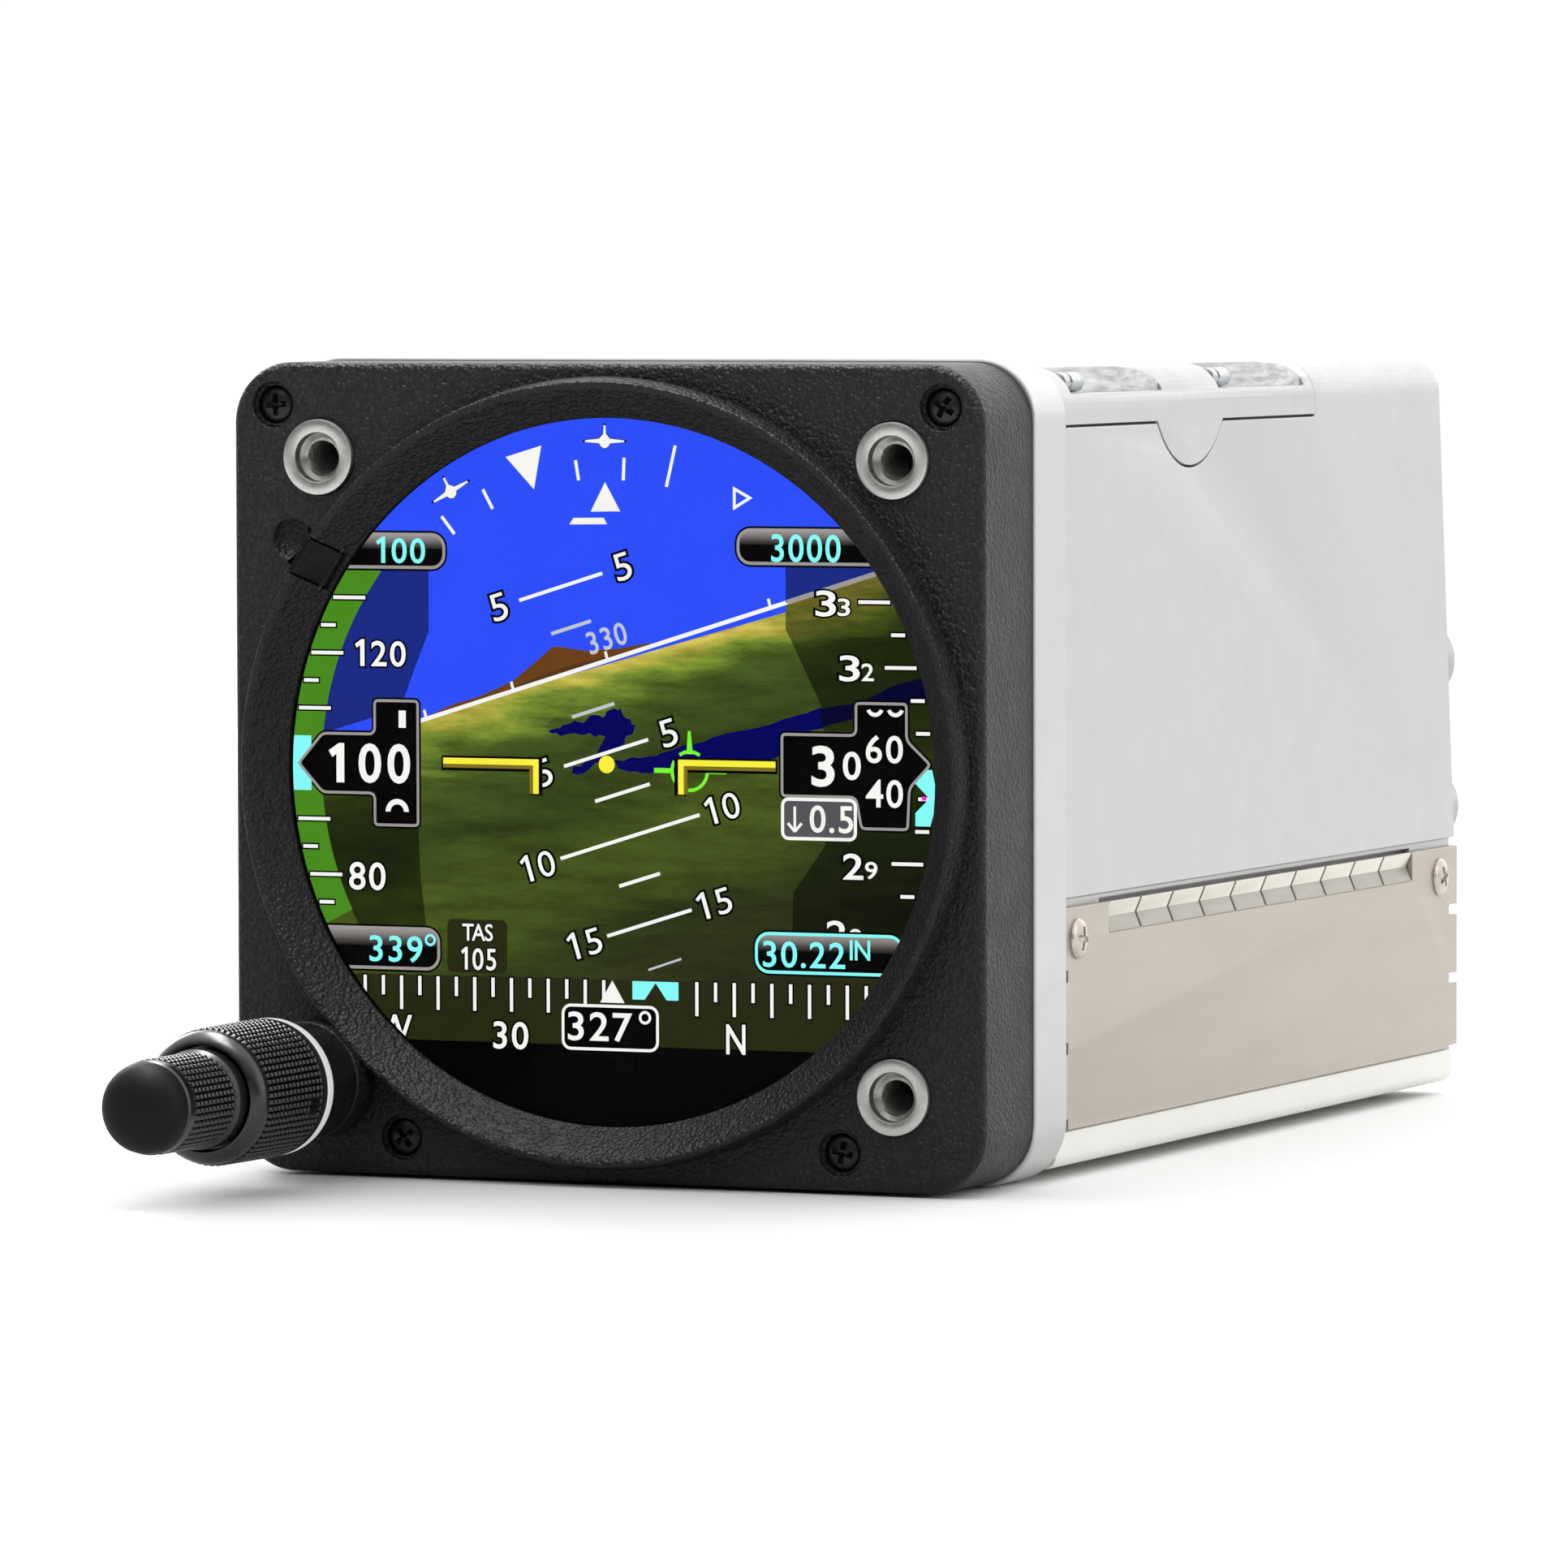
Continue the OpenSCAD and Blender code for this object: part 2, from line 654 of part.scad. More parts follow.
module power_board()
    color("#235f3a") difference() {
        block([-36, 30, power_board_z], [36, 122, power_board_z + board_t]);
        for (at = post_at) post(1.3, power_board_z - 1, power_board_z + 3, at - [0, 6]);
    }

module lower_standoffs()
    color("#b9bcc0") for (at = post_at)
        post(post_r, case_bottom + tray_floor, power_board_z, at - [0, 6]);

module upper_standoffs()
    color("#b9bcc0") for (at = post_at)
        post(post_r, power_board_z + board_t, main_board_z, at - [0, 2.6]);

module board_screws()
    color("#c4c6c8") for (at = post_at)
        post(2.2, main_board_z + board_t, main_board_z + board_t + 1.4, at);

module sensor_module()
    color("#3b4046") block([-4, 36, main_board_z + board_t], [30, 88, 17.8]);

module gps_receiver()
    color("#b7babd") block([-35, 97, main_board_z + board_t], [-8, 121, 2]);

module heat_spreader()
    color("#a5a8ab") {
        block([-35, 50, main_board_z + board_t], [-8, 88, -2]);
        for (x = [-35:4:-9]) block([x, 50, -2.1], [x + 1.2, 88, 6]);
    }

module backup_battery()
    color("#30507a") block([3, 30, 17.8], [36, 92, bcover_z - 0.3]);

module air_data_module()
    color("#4a4e52") block([22, 100, -16], [37, 122, 12]);

module air_tubes()
    color("#d7d2c4") for (z = port_z)
        tube(port_stem_r - 0.3, port_bore_r, 122, port_nut_y(z) - 2.5, [port_x, z]);

// ---- rear ---------------------------------------------------------------------

// Depth of a port nut's rear face, just clear of the wall's inside
function port_nut_y(z) = min(rear_y(z + 4.6), case_depth) - 2.7;

// Tube stub on a hexagonal foot, screwed into the case's rear boss
module port(z) {
    end_y = rear_y(z) + port_reach;
    difference() {
        union() {
            rod(port_r, port_boss_y + 3, end_y, [port_x, z]);
            translate([port_x, port_boss_y, z]) rotate([-90, 0, 0])
                cylinder(r = 6.6, h = 3.2, $fn = 6);
            rod(port_stem_r, port_nut_y(z) - 2.4, port_boss_y + 0.1, [port_x, z]);
        }
        rod(port_bore_r, 130, end_y + 1, [port_x, z]);
    }
}

module pitot_port()
    color("#c8cacb") port(port_z[0]);

module static_port()
    color("#c8cacb") port(port_z[1]);

module port_nuts()
    color("#b0b3b5") for (z = port_z)
        tube(4.6, port_stem_r + hole_slip, port_nut_y(z) - 2, port_nut_y(z), [port_x, z]);

module gps_connector()
    color("#c2b280") difference() {
        union() {
            rod(8.0, gps_boss_y, gps_boss_y + 1.6, gps_at);
            rod(gps_thread_r, gps_boss_y + 1.5, gps_boss_y + 11, gps_at);
            rod(5.0, 130, gps_boss_y + 0.1, gps_at);
        }
        rod(4.2, gps_boss_y + 4, gps_boss_y + 12, gps_at);
    }

module main_connector()
    color("#b8b49a") difference() {
        union() {
            along_y(case_depth, case_depth + 1.0)
                round_rect(-dsub_flange[0] / 2, dsub_flange[0] / 2,
                           dsub_z - dsub_flange[1] / 2, dsub_z + dsub_flange[1] / 2, 1.5, 1.5);
            along_y(131, case_depth + 6.6)
                round_rect(0.1 - dsub_shell[0] / 2, dsub_shell[0] / 2 - 0.1,
                           dsub_z - dsub_shell[1] / 2 + 0.1, dsub_z + dsub_shell[1] / 2 - 0.1,
                           2, 2);
        }
        for (x = [-dsub_pitch / 2, dsub_pitch / 2])
            rod(1.55, case_depth - 1, case_depth + 2, [x, dsub_z]);
    }

module jack_screws()
    color("#bfc1c2") for (x = [-dsub_pitch / 2, dsub_pitch / 2])
        difference() {
            union() {
                translate([x, case_depth + 1, dsub_z]) rotate([-90, 0, 0])
                    cylinder(r = jack_r + 0.4, h = 5, $fn = 6);
                rod(1.5, 133, case_depth + 1.1, [x, dsub_z]);
            }
            rod(jack_bore_r, case_depth + 1, case_depth + 7, [x, dsub_z]);
        }

bezel();
display_glass();
display_panel();
glass_gasket();
backlight_unit();
display_carrier();
display_board();
display_flex();
threaded_inserts();
bezel_screws();
service_contacts();
data_door();
data_door_pin();
knob_collar();
knob_light_ring();
encoder_bushing();
encoder_can();
push_switch();
outer_shaft();
outer_knob();
knob_set_screw();
detent_rotor();
inner_shaft();
inner_knob();
knob_cap();
mid_frame();
frame_screws();
case_body();
bottom_tray();
tray_screws();
side_cover_right();
side_cover_left();
side_cover_screws();
battery_cover();
battery_cover_screws();
backup_battery();
main_board();
power_board();
lower_standoffs();
upper_standoffs();
board_screws();
sensor_module();
gps_receiver();
heat_spreader();
air_data_module();
air_tubes();
pitot_port();
static_port();
port_nuts();
gps_connector();
main_connector();
jack_screws();
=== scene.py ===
import json
import math
import random

import bmesh
import bpy
from mathutils import Matrix, Vector

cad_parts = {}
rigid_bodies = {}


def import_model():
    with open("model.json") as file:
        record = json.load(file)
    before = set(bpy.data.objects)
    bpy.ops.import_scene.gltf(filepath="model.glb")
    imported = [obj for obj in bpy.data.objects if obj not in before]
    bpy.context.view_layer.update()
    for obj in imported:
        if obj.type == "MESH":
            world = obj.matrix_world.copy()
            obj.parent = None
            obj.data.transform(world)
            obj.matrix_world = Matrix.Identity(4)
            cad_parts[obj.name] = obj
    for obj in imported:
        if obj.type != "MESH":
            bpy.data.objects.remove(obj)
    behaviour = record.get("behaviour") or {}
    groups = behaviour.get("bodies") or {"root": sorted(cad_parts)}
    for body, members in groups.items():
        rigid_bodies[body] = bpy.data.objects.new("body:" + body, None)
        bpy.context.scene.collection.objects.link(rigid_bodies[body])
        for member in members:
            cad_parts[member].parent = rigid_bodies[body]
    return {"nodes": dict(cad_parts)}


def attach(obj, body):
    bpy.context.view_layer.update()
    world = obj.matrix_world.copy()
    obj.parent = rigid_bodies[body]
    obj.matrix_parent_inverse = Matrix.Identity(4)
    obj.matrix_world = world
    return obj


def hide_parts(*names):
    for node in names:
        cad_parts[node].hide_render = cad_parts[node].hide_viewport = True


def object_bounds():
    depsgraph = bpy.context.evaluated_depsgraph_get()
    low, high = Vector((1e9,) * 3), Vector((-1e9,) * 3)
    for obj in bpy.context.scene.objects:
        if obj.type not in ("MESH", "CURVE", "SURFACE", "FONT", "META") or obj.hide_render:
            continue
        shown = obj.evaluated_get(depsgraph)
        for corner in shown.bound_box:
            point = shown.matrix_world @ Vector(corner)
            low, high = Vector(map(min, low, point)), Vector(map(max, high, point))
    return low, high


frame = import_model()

cad_low, cad_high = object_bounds()
MM = 0.001
NODES = frame["nodes"]
random.seed(7)

# ---- sizes shared with the CAD, in mm ----
PITCH = 62.87 / 2
KNOB = (-PITCH, -PITCH)
INSERTS = ((-PITCH, PITCH), (PITCH, PITCH), (PITCH, -PITCH))
BEZEL_SCREWS = ((-36.6, 36.7), (36.6, 36.7), (-22.5, -37.2), (25.6, -37.2))

# ---- materials ----
M = {}
PLAIN_LIT = {"Emission Strength": 1.0, "Base Color": (0.002, 0.002, 0.002, 1),
             "Specular IOR Level": 0.0}


def srgb(r, g, b):
    """Linear colour from the 0-255 values that a screen shows."""
    return tuple(
        c / 12.92 if c <= 0.04045 else ((c + 0.055) / 1.055) ** 2.4
        for c in (r / 255, g / 255, b / 255)
    ) + (1.0,)


def scaled(color, k):
    return tuple(min(1.0, c * k) for c in color[:3]) + (1.0,)


def empty_tree(owner):
    owner.use_nodes = True
    owner.node_tree.nodes.clear()
    return owner.node_tree


def add(tree, kind, inputs, **modes):
    """Adds a node; an input is a value or the output socket of another node."""
    node = tree.nodes.new("ShaderNode" + kind)
    for key, value in modes.items():
        setattr(node, key, value)
    for key, value in inputs.items():
        if isinstance(value, bpy.types.NodeSocket):
            tree.links.new(value, node.inputs[key])
        else:
            node.inputs[key].default_value = value
    return node


def open_material(name):
    M[name] = bpy.data.materials.new(name)
    return empty_tree(M[name])


def shade(tree, inputs):
    shader = add(tree, "BsdfPrincipled", inputs)
    add(tree, "OutputMaterial", {"Surface": shader.outputs["BSDF"]})


def noise(tree, source, size, detail=4.0, roughness=0.55):
    """Noise whose features are about size mm across."""
    return add(tree, "TexNoise", {"Scale": 1.0 / (size * MM), "Detail": detail,
                                  "Roughness": roughness, "Vector": source}).outputs["Fac"]


def remap(tree, source, low, high, start=0.3, end=0.7):
    return add(tree, "MapRange", {"From Min": start, "From Max": end, "To Min": low,
                                  "To Max": high, "Value": source}).outputs["Result"]


def calc(tree, operation, *values):
    return add(tree, "Math", dict(enumerate(values)), operation=operation).outputs["Value"]


def bumps(tree, height, strength, depth):
    return add(tree, "Bump", {"Strength": strength, "Distance": depth * MM,
                              "Height": height}).outputs["Normal"]


def split(tree, source):
    return add(tree, "SeparateXYZ", {"Vector": source}).outputs


def ramp(tree, source, stops):
    r = add(tree, "ValToRGB", {"Fac": source})
    while len(r.color_ramp.elements) > 1:
        r.color_ramp.elements.remove(r.color_ramp.elements[-1])
    r.color_ramp.elements[0].position, r.color_ramp.elements[0].color = stops[0]
    for position, color in stops[1:]:
        r.color_ramp.elements.new(position).color = color
    return r.outputs["Color"]


def coordinates(tree, stretch=(1, 1, 1), turn=(0, 0, 0)):
    place = add(tree, "TexCoord", {}).outputs["Object"]
    return add(tree, "Mapping", {"Scale": stretch, "Rotation": turn,
                                 "Vector": place}).outputs["Vector"]


def finish(name, color, rough, metal=0.0, spread=0.08, mottle=7.0, grain=0.3,
           bump=0.25, depth=0.02, along=1, rough_spread=0.06, speckle=0.0, **more):
    """A solid finish: mottled colour, uneven roughness and a fine surface grain.

    along draws the grain out along Y, speckle is the share of grain in the colour."""
    tree = open_material(name)
    drawn = coordinates(tree, (1, along, 1))
    tone = noise(tree, coordinates(tree), mottle, 6.0, 0.6)
    if speckle:
        fine = noise(tree, drawn, grain * 1.3, 2.0)
        tone = add(tree, "Mix", {"Factor": speckle, "A": tone, "B": fine}).outputs["Result"]
    tint = ramp(tree, tone, [(0.3, scaled(color, 1 - spread)), (0.5, color),
                             (0.7, scaled(color, 1 + spread))])
    wear = noise(tree, drawn, mottle * 0.4, 5.0, 0.65)
    shade(tree, {"Base Color": tint, "Metallic": metal,
                 "Roughness": remap(tree, wear, rough - rough_spread, rough + rough_spread),
                 "Normal": bumps(tree, noise(tree, drawn, grain, 3.0), bump, depth), **more})


def cast_finish(name, color, rough, grain, depth, **more):
    """Cast surface with a coarse grain of raised cells; the colour is painted lighter on the cell
    tops as painted highlight and darker between the cells as painted shade.
    """
    tree = open_material(name)
    source = coordinates(tree)
    cell = add(tree, "TexVoronoi", {"Scale": 1.0 / (grain * MM), "Vector": source})
    dome = remap(tree, cell.outputs["Distance"], 1.0, 0.0, 0.05, 0.75)
    fine = remap(tree, noise(tree, source, grain * 1.6, 4.0, 0.6), 0.0, 1.0)
    height = calc(tree, "ADD", dome, fine)
    # painted highlight on the raised cells, painted shade in the hollows between them
    tint = ramp(tree, remap(tree, height, 0.0, 1.0, 0.3, 1.7),
                [(0.0, scaled(color, 0.55)), (0.5, color), (0.85, scaled(color, 1.9))])
    wear = noise(tree, source, 4.0, 5.0, 0.65)
    shade(tree, {"Base Color": tint,
                 "Roughness": remap(tree, wear, rough - 0.05, rough + 0.05),
                 "Normal": bumps(tree, height, 1.0, depth), **more})


def lit_finish(key, rgb):
    """A lit part of the display picture, with the slight unevenness of its backlight."""
    tree, color = open_material("picture_" + key), srgb(*rgb)
    glow = ramp(tree, noise(tree, coordinates(tree), 5.0, 3.0),
                [(0.3, scaled(color, 0.96)), (0.7, scaled(color, 1.04))])
    shade(tree, {"Emission Color": glow, "Roughness": 0.6, **PLAIN_LIT})


TILT = math.radians(17.1)
HORIZON = 11.42


def terrain_finish(key, dim):
    """Ground seen in the picture: bands that follow the tilted horizon, yellow near it."""
    tree = open_material("picture_" + key)
    along = coordinates(tree, turn=(0, TILT, 0))
    streaky = coordinates(tree, (0.35, 1, 1.6), (0, TILT, 0))
    wobble = remap(tree, noise(tree, streaky, 8.0, 6.0, 0.65), -2.6 * MM, 2.6 * MM)
    top = HORIZON * math.cos(TILT)
    level = remap(tree, calc(tree, "ADD", split(tree, along)["Z"], wobble), 0.0, 1.0,
                  (top - 42) * MM, (top + 1.5) * MM)
    bands = [(0.0, 30, 33, 15), (0.14, 34, 37, 18), (0.28, 40, 44, 20), (0.37, 42, 52, 20),
             (0.46, 58, 71, 23), (0.60, 64, 78, 25), (0.69, 46, 58, 20), (0.78, 54, 68, 25),
             (0.85, 62, 80, 26), (0.90, 106, 126, 42), (0.935, 156, 150, 58),
             (0.968, 186, 170, 76), (1.0, 140, 108, 48)]
    ground = ramp(tree, level, [(at, scaled(srgb(*rgb), dim)) for at, *rgb in bands])
    ridges = add(tree, "TexNoise", {"Scale": 1.0 / (13.0 * MM), "Detail": 5.0,
                                    "Vector": streaky}, noise_type="RIDGED_MULTIFRACTAL")
    fold = remap(tree, ridges.outputs["Fac"], 1.25, 0.55, 0.2, 1.3)
    patch = remap(tree, noise(tree, streaky, 3.0, 7.0, 0.7), 0.62, 1.45)
    color_a, color_b, color_out = 6, 7, 2
    mixed = add(tree, "Mix", {"Factor": 1.0, color_a: ground,
                              color_b: calc(tree, "MULTIPLY", fold, patch)},
                data_type="RGBA", blend_type="MULTIPLY")
    shade(tree, {"Emission Color": mixed.outputs[color_out], **PLAIN_LIT})


def box_finish(key, low, high):
    """A read-out box that is lighter along its top edge."""
    tree = open_material("picture_" + key)
    dark, light = srgb(3, 3, 3), srgb(150, 144, 142)
    level = remap(tree, split(tree, coordinates(tree))["Z"], 0.0, 1.0, low * MM, high * MM)
    glow = ramp(tree, level, [(0.0, dark), (0.55, dark), (0.72, scaled(light, 0.25)),
                              (1.0, light)])
    shade(tree, {"Emission Color": glow, **PLAIN_LIT})


def glass_finish(name):
    tree = open_material(name)
    smudge = noise(tree, coordinates(tree), 9.0, 5.0, 0.7)
    shade(tree, {"Roughness": remap(tree, smudge, 0.01, 0.03), "IOR": 1.05,
                 "Base Color": (0.97, 0.98, 0.98, 1), "Transmission Weight": 1.0})


def shine(level):
    return {"Specular IOR Level": level}


cast_finish("bezel_black", srgb(25, 25, 26), 0.44, 0.42, 0.10, **shine(0.27))
# black of the real glass gasket; the same black fills gaps, slits and notches elsewhere as
# painted shade
finish("seal_black", srgb(16, 16, 16), 0.75, 0, 0.1)
finish("diffuser_white", srgb(225, 228, 230), 0.5, 0, 0.03)
finish("bracket_grey", srgb(168, 170, 174), 0.4, 0.9, 0.06)
finish("board_green", srgb(26, 82, 44), 0.4, 0, 0.2, 3.0, 0.5)
finish("flex_amber", srgb(196, 120, 44), 0.35, 0, 0.1)
finish("insert_steel", srgb(196, 196, 193), 0.38, 1.0, 0.12, 1.2, 0.16, 0.3, 0.008,
       0.25, 0.08, 0.7)
finish("insert_bore", srgb(150, 149, 146), 0.34, 1.0, 0.25, 1.0, 0.16, 0.3, 0.008,
       0.3, 0.08)
finish("screw_black", srgb(40, 40, 41), 0.34, 0.6, 0.35, 0.8, 0.15, 0.5,
       0.015, rough_spread=0.12)
finish("contact_gold", srgb(224, 190, 110), 0.25, 1.0, 0.08, 1.0)
finish("door_black", srgb(9, 9, 10), 0.26, 0, 0.25, 1.4, 0.9, 0.5, 0.05,
       **shine(0.16))
finish("steel", srgb(172, 174, 176), 0.30, 1.0, 0.08, 1.5, 0.2, 0.15, 0.006, 0.3,
       0.08)
finish("knob_black", srgb(22, 22, 23), 0.27, 0.0, 0.15, 3.0, 0.12, 0.25, 0.008,
       rough_spread=0.07, **shine(0.65))
finish("cap_black", srgb(21, 21, 22), 0.55, 0, 0.12, 2.0, 0.14, 0.45, 0.012,
       speckle=0.5, **shine(0.12))
# the ring's emission is a painted glow; the white ring is no lamp
finish("light_ring_white", srgb(206, 206, 203), 0.35, 0, 0.02, 2.0, 0.3, 0.1,
       0.006, **{"Subsurface Weight": 0.25, "Subsurface Scale": 0.0015,
                 "Emission Color": (1, 1, 0.98, 1), "Emission Strength": 0.28})
finish("rotor_cream", srgb(228, 222, 204), 0.5, 0, 0.04)
finish("frame_bright", srgb(188, 188, 188), 0.36, 0.70, 0.03, 5.0, 0.22, 0.12,
       0.006, 0.2, 0.06, 0.3)
finish("case_silver", srgb(184, 184, 184), 0.42, 0.60, 0.025, 8.0, 0.14, 0.16,
       0.006, rough_spread=0.05, speckle=0.4)
finish("tray_white", srgb(220, 219, 214), 0.45, 0.45, 0.025, 8.0, 0.16, 0.14, 0.006,
       speckle=0.4)
finish("cover_nickel", srgb(174, 166, 156), 0.44, 0.55, 0.025, 10.0, 0.3, 0.12,
       0.006, 0.12, 0.05, 0.35)
# lighter and darker copies of the nickel finish for the spring fingers: painted highlight on
# their upper halves, painted shade on their lower halves
finish("finger_painted_highlight", srgb(206, 203, 193), 0.32, 0.6, 0.03, 3.0, 0.3, 0.12,
       0.006, 0.12, 0.05, 0.35)
finish("finger_painted_shade", srgb(148, 145, 135), 0.45, 0.3, 0.04, 3.0, 0.3, 0.12,
       0.006, 0.12, 0.05, 0.35)
finish("cover_screw", srgb(184, 176, 166), 0.26, 1.0, 0.08, 1.0, 0.2, 0.2,
       0.006, rough_spread=0.07)
finish("battery_blue", srgb(60, 96, 150), 0.3, 0, 0.06)
finish("can_steel", srgb(190, 192, 194), 0.35, 0.9, 0.06)
finish("module_dark", srgb(66, 70, 76), 0.5, 0, 0.08)
finish("tube_clear", srgb(222, 218, 206), 0.3, 0, 0.04)
finish("fitting_steel", srgb(168, 169, 170), 0.34, 1.0, 0.06, 2.0, 0.2, 0.15,
       0.006, 0.3, 0.08)
finish("connector_gold", srgb(206, 190, 138), 0.32, 0.95, 0.08, 2.0, 0.2, 0.15,
       0.006)
finish("scallop_cut", srgb(180, 181, 182), 0.36, 0.85, 0.28, 1.0, 0.5, 0.5, 0.02,
       0.012, 0.1, 0.95)
glass_finish("cover_glass")
finish("mask_black", srgb(6, 6, 7), 0.35, 0, 0.2)
finish("floor_pale", (0.88, 0.88, 0.88, 1), 0.75, 0, 0.01, 120.0, 3.0, 0.05, 0.02)
for key, color in {
    "sky": (45, 79, 255), "white": (248, 248, 244), "cyan": (136, 255, 250),
    "green": (73, 140, 29), "navy": (26, 42, 132), "night": (2, 2, 2),
    "water": (2, 2, 92), "water_dim": (2, 2, 44), "yellow": (255, 241, 62),
    "yellow_dim": (128, 112, 34), "lime": (120, 246, 50), "grey_line": (158, 154, 152),
    "grey_box": (86, 86, 90), "mountain": (108, 64, 24), "mountain_dim": (84, 54, 26),
    "olive": (40, 42, 17), "magenta": (235, 40, 230), "soft_white": (196, 202, 206),
}.items():
    lit_finish(key, color)
terrain_finish("ground", 1.0)
terrain_finish("ground_dim", 0.30)


# ---- mesh helpers ----
def around(at, r, y, segs):
    """Ring of points about the Y direction through at."""
    return [(at[0] + r * math.cos(2 * math.pi * i / segs), y,
             at[1] + r * math.sin(2 * math.pi * i / segs)) for i in range(segs)]


def centred(points):
    """Middle of the points of an outline."""
    return [sum(p[k] for p in points) / len(points) for k in (0, 1)]


class Shape:
    """Vertices in mm and faces, gathered from simple swept forms."""

    def __init__(self):
        self.v, self.f = [], []

    def rows(self, rows, close_loop=False):
        """Quads between rings of points."""
        base, n, count = len(self.v), len(rows[0]), len(rows)
        for row in rows:
            self.v += row
        for i in range(count if close_loop else count - 1):
            a, b = base + i * n, base + (i + 1) % count * n
            for j in range(n):
                k = (j + 1) % n
                self.f.append((a + j, a + k, b + k, b + j))
        return self

    def capped(self, rows):
        """Rows with a face at each end."""
        first, n = len(self.v), len(rows[0])
        self.rows(rows)
        last = len(self.v) - n
        self.f += [tuple(range(first, first + n)), tuple(range(last + n - 1, last - 1, -1))]
        return self

    def lathe(self, profile, at=(0, 0), segs=96, closed=True):
        """Turns [(radius, y)] about the Y direction through at."""
        return self.rows([around(at, r, y, segs) for r, y in profile], closed)

    def relief(self, radius, y0, y1, segs, steps, at=(0, 0), lead=(), tail=()):
        """Turned surface whose radius is a function of angle and depth."""
        rows = [around(at, r, y, segs) for r, y in lead]
        for s in range(steps + 1):
            y = y0 + (y1 - y0) * s / steps
            row = []
            for i in range(segs):
                a = 2 * math.pi * i / segs
                r = radius(a, y)
                row.append((at[0] + r * math.cos(a), y, at[1] + r * math.sin(a)))
            rows.append(row)
        rows += [around(at, r, y, segs) for r, y in tail]
        return self.rows(rows, bool(lead or tail))

    def prism(self, outline, y0, y1, rise=0.0):
        """Closed prism of an XZ outline between two depths, its front edge broken by rise."""
        cx, cz = centred(outline)
        k = 1 - rise / max(math.hypot(x - cx, z - cz) for x, z in outline)
        rows = [[(cx + (x - cx) * k, y0, cz + (z - cz) * k) for x, z in outline]]
        if rise:
            rows.append([(x, y0 + rise, z) for x, z in outline])
        rows.append([(x, y1, z) for x, z in outline])
        return self.capped(rows)

    def moved(self, matrix, other):
        """Adds another shape through a matrix."""
        base = len(self.v)
        self.v += [tuple(matrix @ Vector(p)) for p in other.v]
        self.f += [tuple(base + i for i in face) for face in other.f]
        return self


def smooth(mesh, angle=35.0):
    mesh.polygons.foreach_set("use_smooth", [True] * len(mesh.polygons))
    mesh.set_sharp_from_angle(angle=math.radians(angle))


def clean(mesh, gap=2e-7, smallest=1e-14, dissolve=False):
    """Joins doubled points, drops empty faces and turns every face outwards."""
    bm = bmesh.new()
    bm.from_mesh(mesh)
    bmesh.ops.remove_doubles(bm, verts=bm.verts, dist=gap)
    loose = [f for f in bm.faces if f.calc_area() < smallest]
    if loose:
        bmesh.ops.delete(bm, geom=loose, context="FACES_ONLY")
    if dissolve:
        bmesh.ops.dissolve_limit(bm, angle_limit=math.radians(0.35), verts=bm.verts,
                                 edges=bm.edges)
    bmesh.ops.recalc_face_normals(bm, faces=bm.faces)
    bm.to_mesh(mesh)
    bm.free()


def add_object(name, data):
    obj = bpy.data.objects.new(name, data)
    bpy.context.scene.collection.objects.link(obj)
    return obj


def evaluated_mesh(obj):
    graph = bpy.context.evaluated_depsgraph_get()
    return bpy.data.meshes.new_from_object(obj.evaluated_get(graph))


def fitted(name, mesh, material, nodes, body):
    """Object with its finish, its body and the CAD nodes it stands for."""
    mesh.materials.append(M[material])
    obj = add_object(name, mesh)
    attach(obj, body)
    if nodes:
        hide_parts(*nodes)
    return obj


def piece(name, shape, material, nodes=(), body="instrument", angle=35.0,
          flat=False):
    mesh = bpy.data.meshes.new(name)
    mesh.from_pydata([[c * MM for c in p] for p in shape.v], [], shape.f)
    if not flat:
        clean(mesh)
        smooth(mesh, angle)
    return fitted(name, mesh, material, nodes, body)


def cut(base, tool):
    """Shape left when tool is taken from base, both closed."""
    objs = []
    for part in (base, tool):
        mesh = bpy.data.meshes.new("cut")
        mesh.from_pydata(part.v, [], part.f)
        clean(mesh, 1e-4, 0)
        objs.append(add_object("cut", mesh))
    mod = objs[0].modifiers.new("cut", "BOOLEAN")
    mod.operation, mod.solver, mod.object = "DIFFERENCE", "EXACT", objs[1]
    made = evaluated_mesh(objs[0])
    result = Shape()
    result.v = [tuple(v.co) for v in made.vertices]
    result.f = [tuple(p.vertices) for p in made.polygons]
    for obj in objs:
        old = obj.data
        bpy.data.objects.remove(obj)
        bpy.data.meshes.remove(old)
    bpy.data.meshes.remove(made)
    return result


def refined(node, material, width, segments=2, body="instrument", dissolve=True):
    """Copy of a CAD solid with its edges rounded."""
    mesh = NODES[node].data.copy()
    mesh.name = node + "_skin"
    mesh.materials.clear()
    clean(mesh, dissolve=dissolve)
    bm = bmesh.new()
    bm.from_mesh(mesh)
    layer = bm.edges.layers.float.new("bevel_weight_edge")
    for e in bm.edges:
        if len(e.link_faces) == 2 and e.calc_face_angle(0.0) > math.radians(26.0):
            e[layer] = 1.0
    bm.to_mesh(mesh)
    bm.free()
    smooth(mesh, 30.0)
    obj = fitted(node + "_skin", mesh, material, [node], body)
    mod = obj.modifiers.new("edges", "BEVEL")
    mod.limit_method = "WEIGHT"
    mod.width = width * MM
    mod.segments = segments
    mod.use_clamp_overlap = False
    mod.harden_normals = True
    mod.miter_outer = "MITER_ARC"
    return obj


def second_finish(obj, material, chosen):
    """Puts a further finish on the faces that chosen picks by centre, in mm, and normal."""
    obj.data.materials.append(M[material])
    for poly in obj.data.polygons:
        if chosen(poly.center / MM, poly.normal):
            poly.material_index = len(obj.data.materials) - 1


def triangle(t):
    """Triangle wave from 0 to 1."""
    return 1 - abs(2 * (t % 1) - 1)


